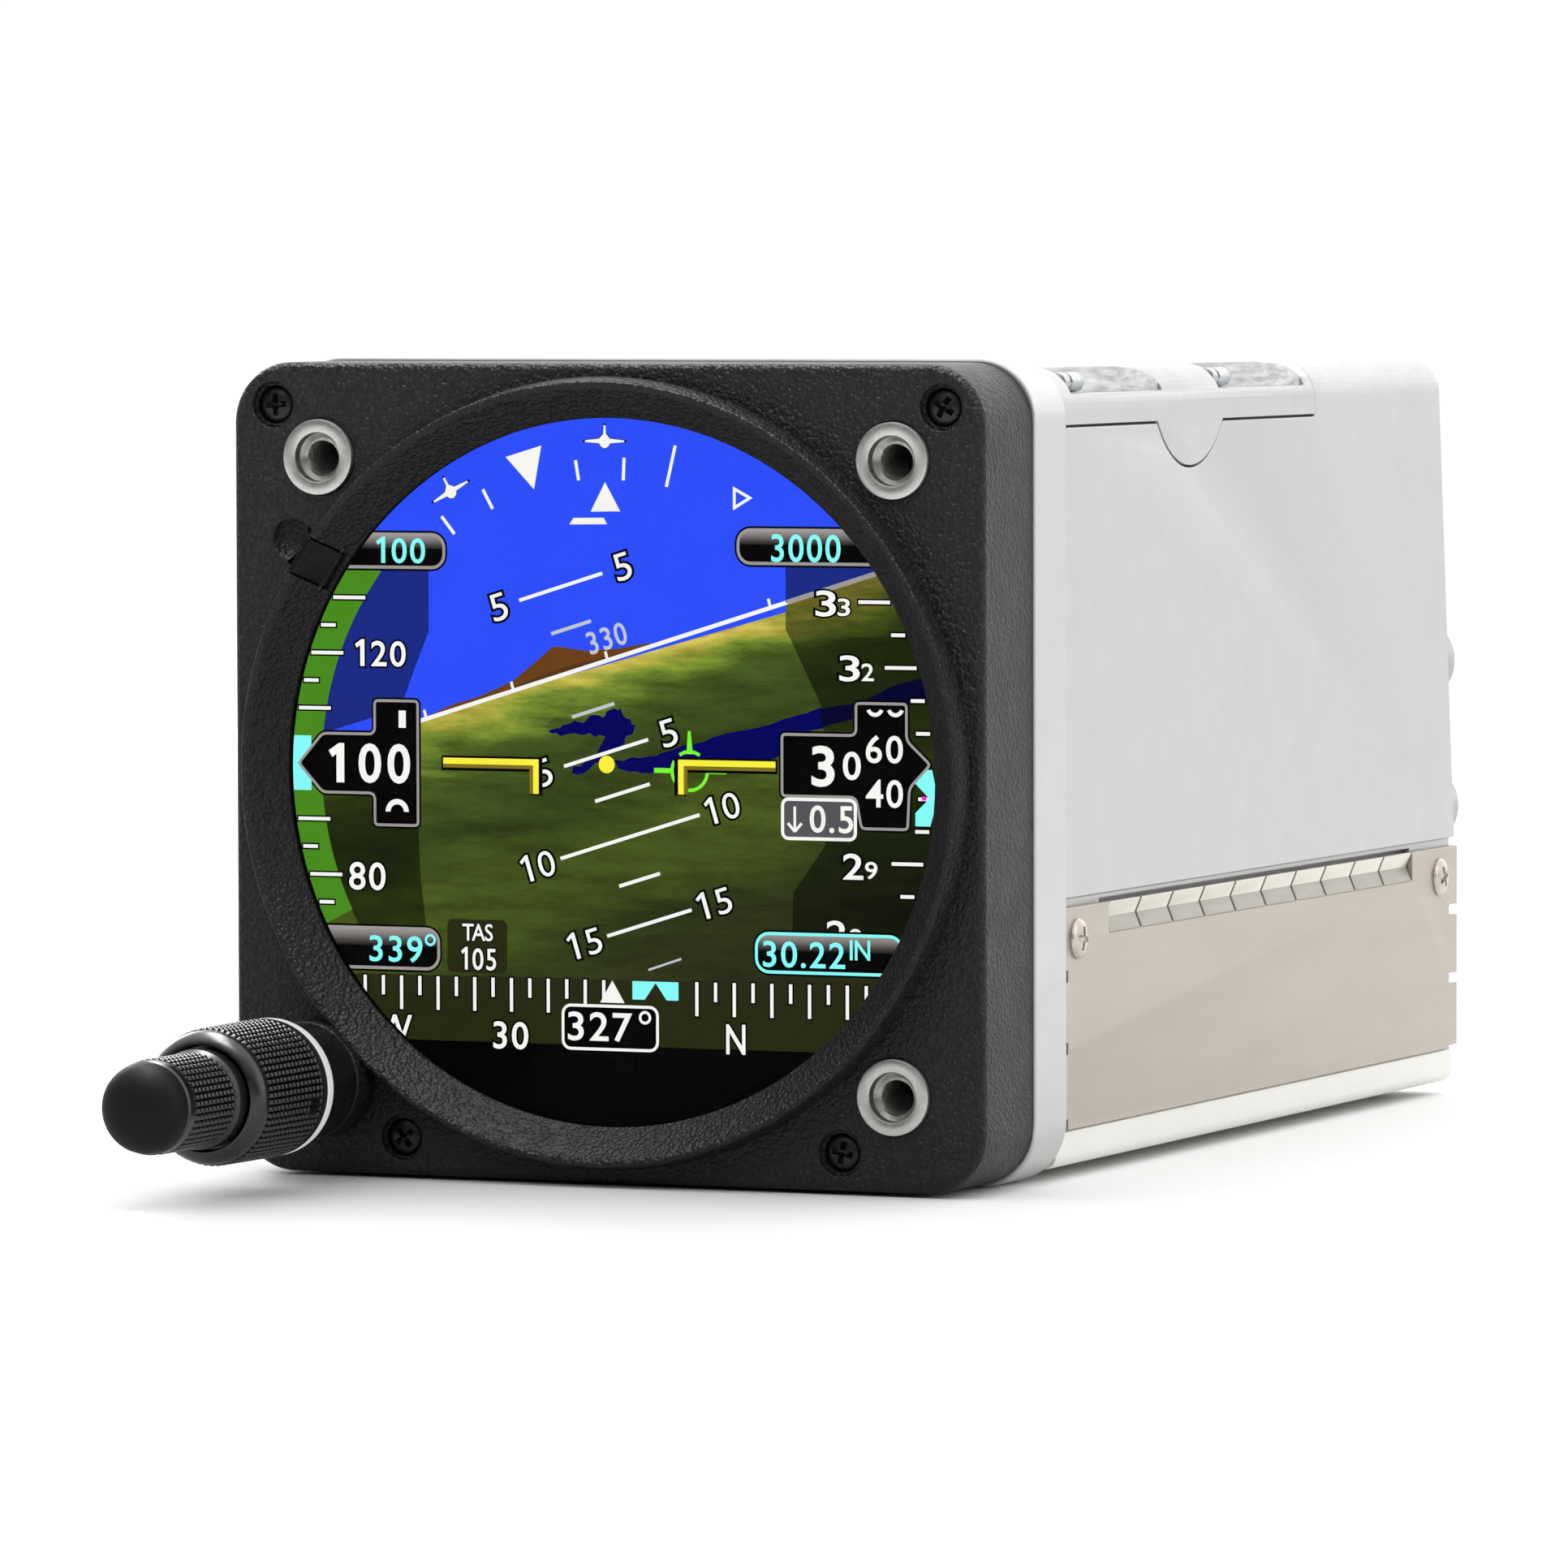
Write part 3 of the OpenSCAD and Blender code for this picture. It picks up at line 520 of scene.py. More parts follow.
def thread(major, minor, pitch):
    """Radius of a V thread by angle and depth."""
    def radius(a, y):
        return minor + (major - minor) * triangle(y / pitch - a / (2 * math.pi))
    return radius


def hexagon(at, across):
    r = across / math.sqrt(3)
    return [(at[0] + r * math.cos(math.pi * i / 3), at[1] + r * math.sin(math.pi * i / 3))
            for i in range(6)]


def move(x, y, z):
    return Matrix.Translation((x, y, z))


def turn(angle, axis):
    return Matrix.Rotation(angle, 4, axis)


def cross_cutter(size, blade, depth, start):
    """Tapered four-blade recess tool, its mouth at y = 0 and its point deeper."""
    outline = []
    for q in range(4):
        a = start + q * math.pi / 2
        for along, side in ((blade, -1), (size, -1), (size, 1)):
            outline.append((along * math.cos(a) - side * blade * math.sin(a),
                            along * math.sin(a) + side * blade * math.cos(a)))
    return Shape().capped([
        [(x * k, y, z * k) for x, z in outline]
        for k, y in ((1.08, -0.5), (1.0, 0.0), (0.72, depth * 0.7), (0.3, depth))])


def screw_head(radius, height, dome, recess, blade, depth):
    """Pan head at the origin that faces -Y, with a cross recess; its foot is at y = height."""
    profile = [(0.0001, -dome)]
    for i in range(1, 7):
        a = math.pi / 2 * i / 6
        profile.append((radius * math.sin(a) * 0.97,
                        -dome * math.cos(a) + (height * 0.35) * (1 - math.cos(a))))
    profile += [(radius, height * 0.5), (radius, height), (0.0001, height)]
    tool = Shape().moved(move(0, -dome, 0), cross_cutter(recess, blade, depth, 0.35))
    return cut(Shape().lathe(profile, segs=48, closed=False), tool)


def box_row(x0, x1, y, z0, z1):
    return [(x0, y, z0), (x1, y, z0), (x1, y, z1), (x0, y, z1)]


# ---- finish on every CAD node that stays ----
KEPT = {
    "mask_black": "display_panel",
    "seal_black": "glass_gasket",
    "diffuser_white": "backlight_unit",
    "bracket_grey": "display_carrier lower_standoffs upper_standoffs heat_spreader",
    "board_green": "display_board main_board power_board",
    "flex_amber": "display_flex",
    "contact_gold": "service_contacts",
    "screw_black": "data_door_pin",
    "steel": "encoder_bushing outer_shaft inner_shaft frame_screws board_screws",
    "can_steel": "encoder_can gps_receiver",
    "module_dark": "push_switch sensor_module air_data_module",
    "rotor_cream": "detent_rotor",
    "battery_blue": "backup_battery",
    "tube_clear": "air_tubes",
    "fitting_steel": "port_nuts",
}
for material, nodes in KEPT.items():
    for node in nodes.split():
        NODES[node].data.materials.clear()
        NODES[node].data.materials.append(M[material])


# ---- bezel, frame, case ----
def carved(node, tools, material):
    """Copy of a CAD solid with its edges taken off by tools, flat faces kept flat."""
    source = NODES[node].data
    shape = Shape()
    shape.v = [tuple(v.co / MM) for v in source.vertices]
    shape.f = [tuple(p.vertices) for p in source.polygons]
    for tool in tools:
        shape = cut(shape, tool)
    obj = piece(node + "_skin", shape, material, [node], angle=30.0)
    obj.modifiers.new("even", "WEIGHTED_NORMAL").keep_sharp = True


def arc_corner(r, steps=6):
    """Points from (r, 0) to (0, r) that round a square corner at (0, 0)."""
    return [(r - r * math.sin(math.pi / 2 * i / steps), r - r * math.cos(math.pi / 2 * i / steps))
            for i in range(steps + 1)]


def rim_tool(at, edge, face, r, inward=1):
    """Ring that rounds a turned edge at radius edge on a face that looks to the front.

    inward is 1 for the outside of a boss and -1 for the mouth of a hole."""
    profile = [(edge + inward * 0.4, face - 0.4), (edge - inward * r, face - 0.4)]
    profile += [(edge - inward * u, face + w) for u, w in arc_corner(r)]
    profile.append((edge + inward * 0.4, face + r))
    return Shape().lathe(profile, at, 120)


def round_outline(x0, x1, z0, z1, r, steps=6):
    points = []
    for cx, cz, first in ((x1 - r, z1 - r, 0), (x0 + r, z1 - r, 90), (x0 + r, z0 + r, 180),
                          (x1 - r, z0 + r, 270)):
        for i in range(steps + 1):
            a = math.radians(first + 90 * i / steps)
            points.append((cx + r * math.cos(a), cz + r * math.sin(a)))
    return points


BEZEL_W, BEZEL_H, BEZEL_CORNER = 41.1, 41.0, 6.2
CREST, CREST_OUT, CREST_IN = -2.5, 39.25, 38.6
EDGE = 0.75
section = [(-0.5, -0.5), (EDGE, -0.5)] + arc_corner(EDGE, 8) + [(-0.5, EDGE)]
rows = [[(x, y, z) for x, z in round_outline(-BEZEL_W + d, BEZEL_W - d, -BEZEL_H + d,
                                             BEZEL_H - d, BEZEL_CORNER - d, 24)]
        for d, y in section]
lip = [(CREST_IN + 0.25, CREST - 0.4), (CREST_IN + 0.25, CREST),
       (CREST_IN + 0.06, CREST + 0.05), (CREST_IN - 0.17, CREST + 0.19),
       (CREST_IN - 1.2, CREST + 0.19), (CREST_IN - 1.2, CREST - 0.4)]
pockets = Shape()
for at in BEZEL_SCREWS:
    pockets.moved(Matrix(), rim_tool(at, 2.3, 0.0, 0.16, -1))
for at in INSERTS:
    pockets.moved(Matrix(), rim_tool(at, 3.9, 0.0, 0.14, -1))
carved("bezel", [Shape().rows(rows, True), rim_tool((0, 0), CREST_OUT, CREST, 0.22),
                 Shape().lathe(lip, (0, 0), 180), rim_tool(KNOB, 6.0, -4.0, 0.35), pockets],
       "bezel_black")
refined("mid_frame", "frame_bright", 0.35, 3)
refined("case_body", "case_silver", 0.18)
refined("bottom_tray", "tray_white", 0.22)


def on_finger(c, n):
    return (34.4 < c.y < 124.6 and -17.6 < c.z < -13.2 and abs(n.z) > 0.12
            and n.x * c.x > 0)


for node in ("side_cover_right", "side_cover_left"):
    side_cover = refined(node, "cover_nickel", 0.10)
    # upper halves of the spring fingers (faces that look down) get the painted highlight copy,
    # lower halves the painted shade copy
    second_finish(side_cover, "finger_painted_highlight", lambda c, n: on_finger(c, n) and n.z < 0)
    second_finish(side_cover, "finger_painted_shade", lambda c, n: on_finger(c, n) and n.z >= 0)
refined("knob_collar", "knob_black", 0.25, 3)
refined("data_door", "door_black", 0.12, body="data_door")

for side, label_of in ((-1, "left"), (1, "right")):
    # black strip in the groove behind the spring fingers, painted shade seen through the slits
    # between them
    x0, x1 = sorted((side * 38.75, side * 39.15))
    strip = Shape().capped([box_row(x0, x1, y, z0, z1) for y, z0, z1 in (
        (34.2, -17.2, -14.9), (34.5, -17.5, -14.7), (124.2, -17.5, -14.7),
        (124.5, -17.2, -14.9))])
    piece("finger_strip_" + label_of, strip, "seal_black")
    # black blocks behind the notches in the front edge of the side cover, painted shade in the
    # notches
    x0, x1 = sorted((side * 39.92, side * 40.12))
    shade_blocks = Shape()
    for z0, z1 in ((-21.5, -20.4), (-29.0, -28.0)):
        shade_blocks.capped([box_row(x0, x1, y, z0, z1) for y in (21.45, 22.9)])
    piece("notch_pads_" + label_of, shade_blocks, "seal_black")

# black fill in the seam under the battery cover and round its thumb tab, painted shade in the gap
TAB_R, TAB_Y, TAB_Z, SEAM_Z = 11.5, 58.2, 41.4, 34.6
SEAM = 0.25
half_arc = math.acos((TAB_Z - SEAM_Z) / TAB_R)
rows = []
for i in range(33):
    a = -half_arc + 2 * half_arc * i / 32
    rows.append([(x, TAB_Y + r * math.sin(a), TAB_Z - r * math.cos(a))
                 for x, r in ((39.15, TAB_R + 0.02), (39.85, TAB_R + 0.02),
                              (39.85, TAB_R + SEAM - 0.02), (39.15, TAB_R + SEAM - 0.02))])
seam_shade = Shape().capped(rows)
for ends in ((21.3, TAB_Y - 9.1), (TAB_Y + 9.1, 94.7)):
    seam_shade.capped([box_row(38.4, 39.9, y, SEAM_Z - SEAM + 0.02, SEAM_Z - 0.02) for y in ends])
piece("battery_cover_seal", seam_shade, "seal_black")

# battery cover: its scallops are cut surfaces with milling lines
SCALLOPS = (25.6, 66.9)
cover = refined("battery_cover", "case_silver", 0.08, dissolve=False)
second_finish(cover, "scallop_cut", lambda c, n: 34.8 < c.x < 40.25 and 37.6 < c.z < 40.2 and any(
    s - 0.1 < c.y < s + 28.2 for s in SCALLOPS))

# ---- threaded inserts and screws ----
lead = [(1.75, 10.0), (3.85, 11.0), (3.85, -0.36), (3.79, -0.46), (3.70, -0.5),
        (2.62, -0.5), (2.52, -0.45), (2.48, -0.30), (2.44, 0.55), (2.0, 0.85), (1.95, 0.9)]
shape = Shape()
for at in INSERTS:
    shape.relief(thread(1.95, 1.62, 0.8), 0.95, 9.9, 48, 96, at, lead)
inserts = piece("insert_bodies", shape, "insert_steel", ["threaded_inserts"])
second_finish(inserts, "insert_bore", lambda c, n: c.y > 0.5 and any(
    math.hypot(c.x - x, c.z - z) < 2.5 for x, z in INSERTS))

head = screw_head(1.85, 1.35, 0.12, 1.2, 0.33, 1.0)
shape = Shape()
for (x, z), spin in zip(BEZEL_SCREWS, (0.3, 0.9, 1.3, 0.55)):
    shape.moved(move(x, 0.62, z) @ turn(spin, "Y"), head)
    shape.lathe([(0.0001, 1.9), (1.0, 1.9), (1.0, 18.4), (0.0001, 18.5)], (x, z), 24, False)
piece("bezel_screw_bodies", shape, "screw_black", ["bezel_screws"])

head = screw_head(2.08, 0.45, 0.34, 1.3, 0.3, 0.74)
shape = Shape()
for side in (-1, 1):
    for i, y in enumerate((25.8, 133.0)):
        shape.moved(move(side * (40.6 + 0.45), y, -17.1) @ turn(side * math.pi / 2, "Z")
                    @ turn(0.5 + i, "Y"), head)
piece("side_cover_screw_bodies", shape, "cover_screw", ["side_cover_screws"])

head = screw_head(1.88, 0.6, 0.15, 1.05, 0.24, 0.6)
shape = Shape()
for i, (x, y) in enumerate(((-34, 30), (34, 30), (-34, 128), (34, 128))):
    shape.moved(move(x, y, -39.7) @ turn(math.pi / 2, "X") @ turn(0.4 * i, "Y"), head)
piece("tray_screw_bodies", shape, "steel", ["tray_screws"])

# captive screws that lie in the scallops, a round recess in their rear ends
shape = Shape()
for y in SCALLOPS:
    shape.lathe([(0.0001, y + 1.2), (0.78, y + 1.2), (1.0, y + 1.35), (1.03, y + 1.6),
                 (1.03, y + 2.6), (0.82, y + 2.75), (0.82, y + 3.1), (1.03, y + 3.25),
                 (1.03, y + 6.2), (0.92, y + 6.5), (0.45, y + 6.58), (0.38, y + 6.1),
                 (0.0001, y + 5.9)], (37.9, 38.8), 36, False)
    shape.lathe([(0.0001, y - 5.9), (0.7, y - 5.9), (0.7, y + 1.3), (0.0001, y + 1.3)],
                (37.9, 38.15), 20, False)
piece("battery_cover_screw_bodies", shape, "steel", ["battery_cover_screws"])


# ---- knobs ----
def knurled(radius, count, pitch, depth, flat_at=None, taper=0.0, start=0.0):
    """Rows of small square teeth; flat_at is (angle, y, reach) of a spot left low."""
    def surface(a, y):
        row = min(1.0, 2.0 * triangle(a * count / (2 * math.pi)))
        tooth = min(1.0, 1.8 * triangle(y / pitch))
        top = radius + taper * (y - start)
        r = top - depth + depth * row * (0.5 + 0.5 * tooth)
        if flat_at:
            angle, level, reach = flat_at
            across = (a - angle + math.pi) % (2 * math.pi) - math.pi
            if math.hypot(across * radius, y - level) < reach:
                r = min(r, top - depth - 0.35)
        return r
    return surface


SCREW_ANGLE, SCREW_Y = math.radians(-14), -15.4
R_OUT, R_FRONT, R_MOUTH = 6.99, 6.88, 5.35
KNURL_START, KNURL_END, KNOB_FRONT = -13.95, -25.3, -27.0
taper = (R_OUT - R_FRONT) / (KNURL_START - KNURL_END)
shoulder = [(R_MOUTH + (R_FRONT - 0.2 - R_MOUTH) * math.cos(math.radians(a)) ** 1.25,
             KNOB_FRONT + 1.5 * (1 - math.sin(math.radians(a)) ** 1.1))
            for a in range(0, 91, 9)]
back = [(3.05, -25.4), (3.05, -13.4), (6.6, -13.4), (6.86, -13.5), (6.9, -13.75)]
front = [(R_FRONT - 0.22, KNURL_END - 0.08)] + shoulder + [(5.28, -26.9), (5.2, -26.7),
                                                          (5.2, -25.4)]
flat_spot = (SCREW_ANGLE % (2 * math.pi), SCREW_Y, 1.15)
shape = Shape().relief(knurled(R_OUT, 62, 0.84, 0.40, flat_spot, taper, KNURL_START),
                       KNURL_START, KNURL_END, 558, 112, KNOB, back, front)
piece("outer_knob_body", shape, "knob_black", ["outer_knob"], "outer_knob", 28)

socket = Shape().lathe([(0.0001, -0.2), (0.62, -0.2), (0.78, -0.1), (0.8, 0.1), (0.8, 1.5),
                        (0.0001, 1.5)], segs=32, closed=False)
key = Shape().prism(hexagon((0, 0), 0.72), -0.6, 0.55)
shape = Shape().moved(move(KNOB[0], 0, KNOB[1]) @ turn(-SCREW_ANGLE, "Y")
                      @ move(6.2, SCREW_Y, 0) @ turn(math.pi / 2, "Z"), cut(socket, key))
piece("set_screw_body", shape, "screw_black", ["knob_set_screw"],
      "outer_knob")

shape = Shape().relief(knurled(4.74, 42, 0.84, 0.36), -28.9, -37.3, 378, 80, KNOB,
                       [(2.2, -26.7), (4.85, -26.65), (4.98, -26.8), (4.98, -28.4),
                        (4.6, -28.85)],
                       [(4.55, -37.4), (4.66, -37.55), (4.66, -38.55), (4.5, -38.8),
                        (2.2, -38.8)])
piece("inner_knob_body", shape, "knob_black", ["inner_knob"], "inner_knob", 28)

FULLNESS = 0.84
dome = [(0.0001, -42.08)]
for i in range(1, 21):
    a = math.radians(90 * i / 20)
    dome.append((4.5 * math.sin(a) ** FULLNESS, -38.88 - 3.2 * math.cos(a) ** FULLNESS))
dome += [(4.42, -38.86), (4.3, -38.84), (3.0, -38.8), (3.0, -36.7), (0.0001, -36.7)]
piece("cap_body", Shape().lathe(dome, KNOB, 96, False), "cap_black", ["knob_cap"],
      "inner_knob", 40)

# white ring round the knob's foot with a painted glow, though it is no lamp; its front edge is
# painted black as painted shade in the gap before the knob
ring = [(3.55, -11.35), (6.8, -11.35), (6.92, -11.5), (6.94, -11.8), (6.94, -12.84),
        (6.9, -12.95), (6.7, -13.08), (3.55, -13.08)]
ring = piece("light_ring_body", Shape().lathe(ring, KNOB), "light_ring_white",
             ["knob_light_ring"])
# front edge of the white ring in the black finish: painted shade in the gap before the knob
second_finish(ring, "seal_black", lambda c, n: c.y < -12.86)

# ---- rear fittings ----
for name, z, end in (("pitot_port", 6.0, 152.62), ("static_port", -10.4, 154.32)):
    spot = (31.0, z)
    lead = [(2.0, end - 0.1), (2.0, 134.0), (3.35, 134.0), (3.35, 142.3), (4.3, 142.3),
            (4.3, 143.4)]
    tail = [(4.4, end - 0.35), (4.1, end), (2.4, end)]
    shape = Shape().prism(hexagon(spot, 11.2), 139.4, 142.5, 0.35)
    shape.relief(thread(4.74, 4.32, 1.27), 143.5, end - 0.6, 48, 90, spot, lead, tail)
    piece(name + "_body", shape, "fitting_steel", [name], angle=30)

spot = (-26, 12)
shape = Shape().lathe([(8.0, 138.05), (8.0, 139.35), (7.8, 139.58), (5.6, 139.6),
                       (4.9, 139.6), (4.9, 138.05)], spot)
shape.relief(thread(5.43, 5.0, 1.06), 140.0, 148.4, 60, 96, spot,
             [(4.2, 148.9), (4.2, 141.2), (0.6, 141.2), (0.001, 139.62), (5.0, 139.62)],
             [(5.0, 148.6), (4.9, 148.98), (4.4, 149.0)])
shape.lathe([(0.0001, 140.0), (1.5, 140.0), (1.5, 146.5), (1.35, 146.7), (0.5, 146.7),
             (0.45, 144.5), (0.0001, 144.5)], spot, 36, False)
piece("gps_connector_body", shape, "connector_gold", ["gps_connector"], angle=30)

DSUB_Z = -26.0


def dsub_outline(half_w, half_h, r):
    return round_outline(-half_w, half_w, DSUB_Z - half_h, DSUB_Z + half_h, r)


flange, inner = dsub_outline(33.5, 6.8, 1.5), dsub_outline(26.2, 4.6, 2.0)
wall = dsub_outline(25.7, 4.1, 1.6)
shape = Shape().rows([[(x, y, z) for x, z in outline] for outline, y in (
    (flange, 138.35), (flange, 139.28), (inner, 139.3), (inner, 144.85), (wall, 144.88),
    (wall, 139.5), (inner, 138.35))], True)
piece("main_connector_shell", shape, "connector_gold", ["main_connector"],
      angle=30)
face = Shape().prism(dsub_outline(25.6, 4.0, 1.5), 139.4, 141.2)
face.prism(dsub_outline(24.6, 3.0, 1.2), 141.1, 141.6)
piece("main_connector_face", face, "module_dark")
pins = Shape()
for row in range(4):
    count = 19 + (row + 1) % 2
    for i in range(count):
        pins.lathe([(0.0001, 144.2), (0.22, 144.1), (0.36, 143.7), (0.38, 143.4),
                    (0.38, 141.5), (0.0001, 141.5)],
                   ((i - (count - 1) / 2) * 2.41, DSUB_Z + (row - 1.5) * 1.72), 12, False)
piece("main_connector_pins", pins, "contact_gold")

shape = Shape()
for x in (-61.1 / 2, 61.1 / 2):
    shape.prism(hexagon((x, DSUB_Z), 4.8), 139.35, 143.9)
    shape.relief(thread(1.45, 1.2, 0.64), 144.26, 139.9, 24, 60, (x, DSUB_Z),
                 [(1.0, 143.0), (2.3, 143.9), (2.25, 144.2), (1.5, 144.28)])
piece("jack_screw_bodies", shape, "steel", ["jack_screws"], angle=30)

# ---- cover glass and its black border ----
PICTURE_R = 35.6
pane = [(0.0001, 1.34), (36.6, 1.34), (37.5, 1.36), (37.78, 1.45), (37.85, 1.6),
        (37.85, 1.95), (37.6, 2.1), (0.0001, 2.1)]
glass = piece("cover_glass_pane", Shape().lathe(pane, segs=180, closed=False),
              "cover_glass", ["display_glass"], angle=30)
border = [(PICTURE_R, 2.13), (37.85, 2.13), (37.85, 2.85), (36.2, 2.85), (36.2, 2.22),
          (PICTURE_R, 2.2)]
piece("glass_border", Shape().lathe(border, segs=180), "mask_black")
glass.visible_diffuse = glass.visible_glossy = False

# ---- display picture: thin layers under the glass ----
PICTURE_Y = 2.45
LAYER = 0.013
picture = {}


def patch(color, layer, points, faces=None):
    """Adds a flat outline, or points with faces, to one layer of the picture."""
    shape = picture.setdefault((color, layer), Shape())
    base = len(shape.v)
    shape.v += [(x, PICTURE_Y - LAYER * layer, z) for x, z in points]
    shape.f += [tuple(base + i for i in f) for f in faces or [range(len(points))]]


def frame_part(color, layer, outer, inner):
    n = len(outer)
    patch(color, layer, outer + inner,
          [(i, (i + 1) % n, n + (i + 1) % n, n + i) for i in range(n)])


def bar(color, layer, x0, z0, x1, z1, width):
    a = math.atan2(z1 - z0, x1 - x0)
    dx, dz = -math.sin(a) * width / 2, math.cos(a) * width / 2
    patch(color, layer, [(x0 - dx, z0 - dz), (x1 - dx, z1 - dz), (x1 + dx, z1 + dz),
                         (x0 + dx, z0 + dz)])


def tick(x0, z0, x1, z1, width=0.36, edge=0.16):
    """White mark with a dark edge."""
    a = math.atan2(z1 - z0, x1 - x0)
    ex, ez = math.cos(a) * edge, math.sin(a) * edge
    bar("night", 5, x0 - ex, z0 - ez, x1 + ex, z1 + ez, width + 2 * edge)
    bar("white", 6, x0, z0, x1, z1, width)


def arc_points(cx, cz, r, start, end, steps=48):
    return [(cx + r * math.cos(math.radians(start + (end - start) * i / steps)),
             cz + r * math.sin(math.radians(start + (end - start) * i / steps)))
            for i in range(steps + 1)]


def arc_part(color, layer, cx, cz, r0, r1, start, end, steps=32):
    patch(color, layer, arc_points(cx, cz, r1, start, end, steps)
          + arc_points(cx, cz, r0, end, start, steps))


def shrunk(points, by):
    """Outline moved inwards by a distance, for outlines given counter-clockwise."""
    result = []
    for i, (x, z) in enumerate(points):
        px, pz = points[i - 1]
        nx, nz = points[(i + 1) % len(points)]
        a = Vector((x - px, z - pz)).normalized()
        b = Vector((nx - x, nz - z)).normalized()
        na, nb = Vector((-a.y, a.x)), Vector((-b.y, b.x))
        m = (na + nb) / max(0.35, 1 + na.dot(nb))
        result.append((x + m.x * by, z + m.y * by))
    return result


def softened(points, r=0.55, steps=4):
    """Outline with each corner rounded by a small arc."""
    result = []
    for i, (x, z) in enumerate(points):
        p, q = Vector(points[i - 1]), Vector(points[(i + 1) % len(points)])
        c = Vector((x, z))
        a, b = c + (p - c).normalized() * r, c + (q - c).normalized() * r
        for k in range(steps + 1):
            t = k / steps
            s = a * (1 - t) ** 2 + c * (2 * t * (1 - t)) + b * t * t
            result.append((s.x, s.y))
    return result


def shoreline(points, reach, parts=4):
    """Outline whose edges wander by up to reach."""
    result = []
    for i, (x, z) in enumerate(points):
        nx, nz = points[(i + 1) % len(points)]
        length = math.hypot(nx - x, nz - z)
        wander = min(reach, 0.16 * length)
        for k in range(parts):
            t = k / parts
            off = random.uniform(-wander, wander) if k else 0.0
            result.append((x + (nx - x) * t - (nz - z) / length * off,
                           z + (nz - z) * t + (nx - x) / length * off))
    return result


def font_glyph(char, offset):
    """Points and faces of one character of the built-in font."""
    curve = bpy.data.curves.new("glyph", "FONT")
    curve.body, curve.size, curve.offset, curve.resolution_u = char, 1.0, offset, 4
    obj = add_object("glyph", curve)
    mesh = evaluated_mesh(obj)
    points = [(v.co.x, v.co.y) for v in mesh.vertices]
    faces = [tuple(p.vertices) for p in mesh.polygons]
    bpy.data.objects.remove(obj)
    bpy.data.curves.remove(curve)
    bpy.data.meshes.remove(mesh)
    return points, faces


# the figure one with a flag, as a share of the figures' height
ONE = [(0.31, 0.0), (0.45, 0.0), (0.45, 1.0), (0.35, 1.0), (0.10, 0.82), (0.16, 0.71),
       (0.31, 0.82)]
FIGURE_H = 0.73
CELLS = {".": 0.26, "I": 0.3, "N": 0.66, "W": 0.9, "T": 0.5, "A": 0.58, "S": 0.5}
glyphs = {}


def span(points, k):
    return min(p[k] for p in points), max(p[k] for p in points)


def glyph_mesh(text, offset):
    """A line of figures, each centred in a cell of the same width."""
    if (text, offset) not in glyphs:
        points, faces, pen = [], [], 0.0
        for char in text:
            cell = CELLS.get(char, 0.56)
            if char == "1":
                figure = [(x * FIGURE_H, z * FIGURE_H) for x, z in ONE]
                middle = 0.28 * FIGURE_H
                got = shrunk(figure, -offset), [tuple(range(len(figure)))]
            else:
                middle = sum(span(font_glyph(char, 0.0)[0], 0)) / 2
                got = font_glyph(char, offset)
            base = len(points)
            points += [(x - middle + pen + cell / 2, z) for x, z in got[0]]
            faces += [tuple(base + i for i in f) for f in got[1]]
            pen += cell
        glyphs[(text, offset)] = points, faces
    return glyphs[(text, offset)]


def label(text, x, z, width, height, turn=0.0, color="white", layer=8, halo=0.05,
          weight=0.012):
    """Figures centred on x, z, fitted to a width and height in mm."""
    (x0, x1), (z0, z1) = [span(glyph_mesh(text, weight)[0], k) for k in (0, 1)]
    kx, kz = width / (x1 - x0), height / (z1 - z0)
    c, s = math.cos(turn), math.sin(turn)
    passes = [("night", layer - 1, weight + halo)] if halo else []
    for tint, level, offset in passes + [(color, layer, weight)]:
        points, faces = glyph_mesh(text, offset)
        spots = [((px - (x0 + x1) / 2) * kx, (pz - (z0 + z1) / 2) * kz) for px, pz in points]
        patch(tint, level, [(x + u * c - w * s, z + u * s + w * c) for u, w in spots], faces)


def bare_label(text, x, z, width, height, color="white", layer=12, weight=0.012):
    label(text, x, z, width, height, 0.0, color, layer, 0, weight)


def readout(name, x0, z0, x1, z1, edge="grey_line", layer=6):
    """Rounded box with a lit border and a fill that darkens downwards."""
    line = 0.32
    inner = round_outline(x0 + line, x1 - line, z0 + line, z1 - line, 1.5 - line)
    patch("night", layer - 1, round_outline(x0 - 0.2, x1 + 0.2, z0 - 0.2, z1 + 0.2, 1.7))
    frame_part(edge, layer, round_outline(x0, x1, z0, z1, 1.5), inner)
    box_finish("fill_" + name, z0 + 0.4, z1 - 0.4)
    patch("fill_" + name, layer + 1, inner)


def on_horizon(x):
    return HORIZON + x * math.tan(TILT)


patch("sky", 0, arc_points(0, 0, PICTURE_R + 0.3, 0, 360, 180)[:-1])
hit = [math.degrees(math.atan2(on_horizon(x), x)) for x in (-33.9, 33.9)]
patch("ground", 1, arc_points(0, 0, PICTURE_R + 0.3, hit[0] - 360, hit[1], 120))
patch("mountain", 1, [(-22.1, 4.7), (-11.2, 8.0), (4.0, 12.7), (4.0, 13.05), (0.4, 12.4),
    (-3.1, 12.15), (-5.8, 12.5), (-6.7, 12.5), (-8.5, 11.0), (-11.2, 8.95), (-14.8, 7.4),
    (-17.6, 6.6)])
patch("mountain_dim", 2, [(-22.1, 4.7), (-11.2, 8.0), (4.0, 12.7), (-1.0, 11.5), (-4.6, 10.7),
    (-8.8, 9.3), (-13.2, 7.5)])
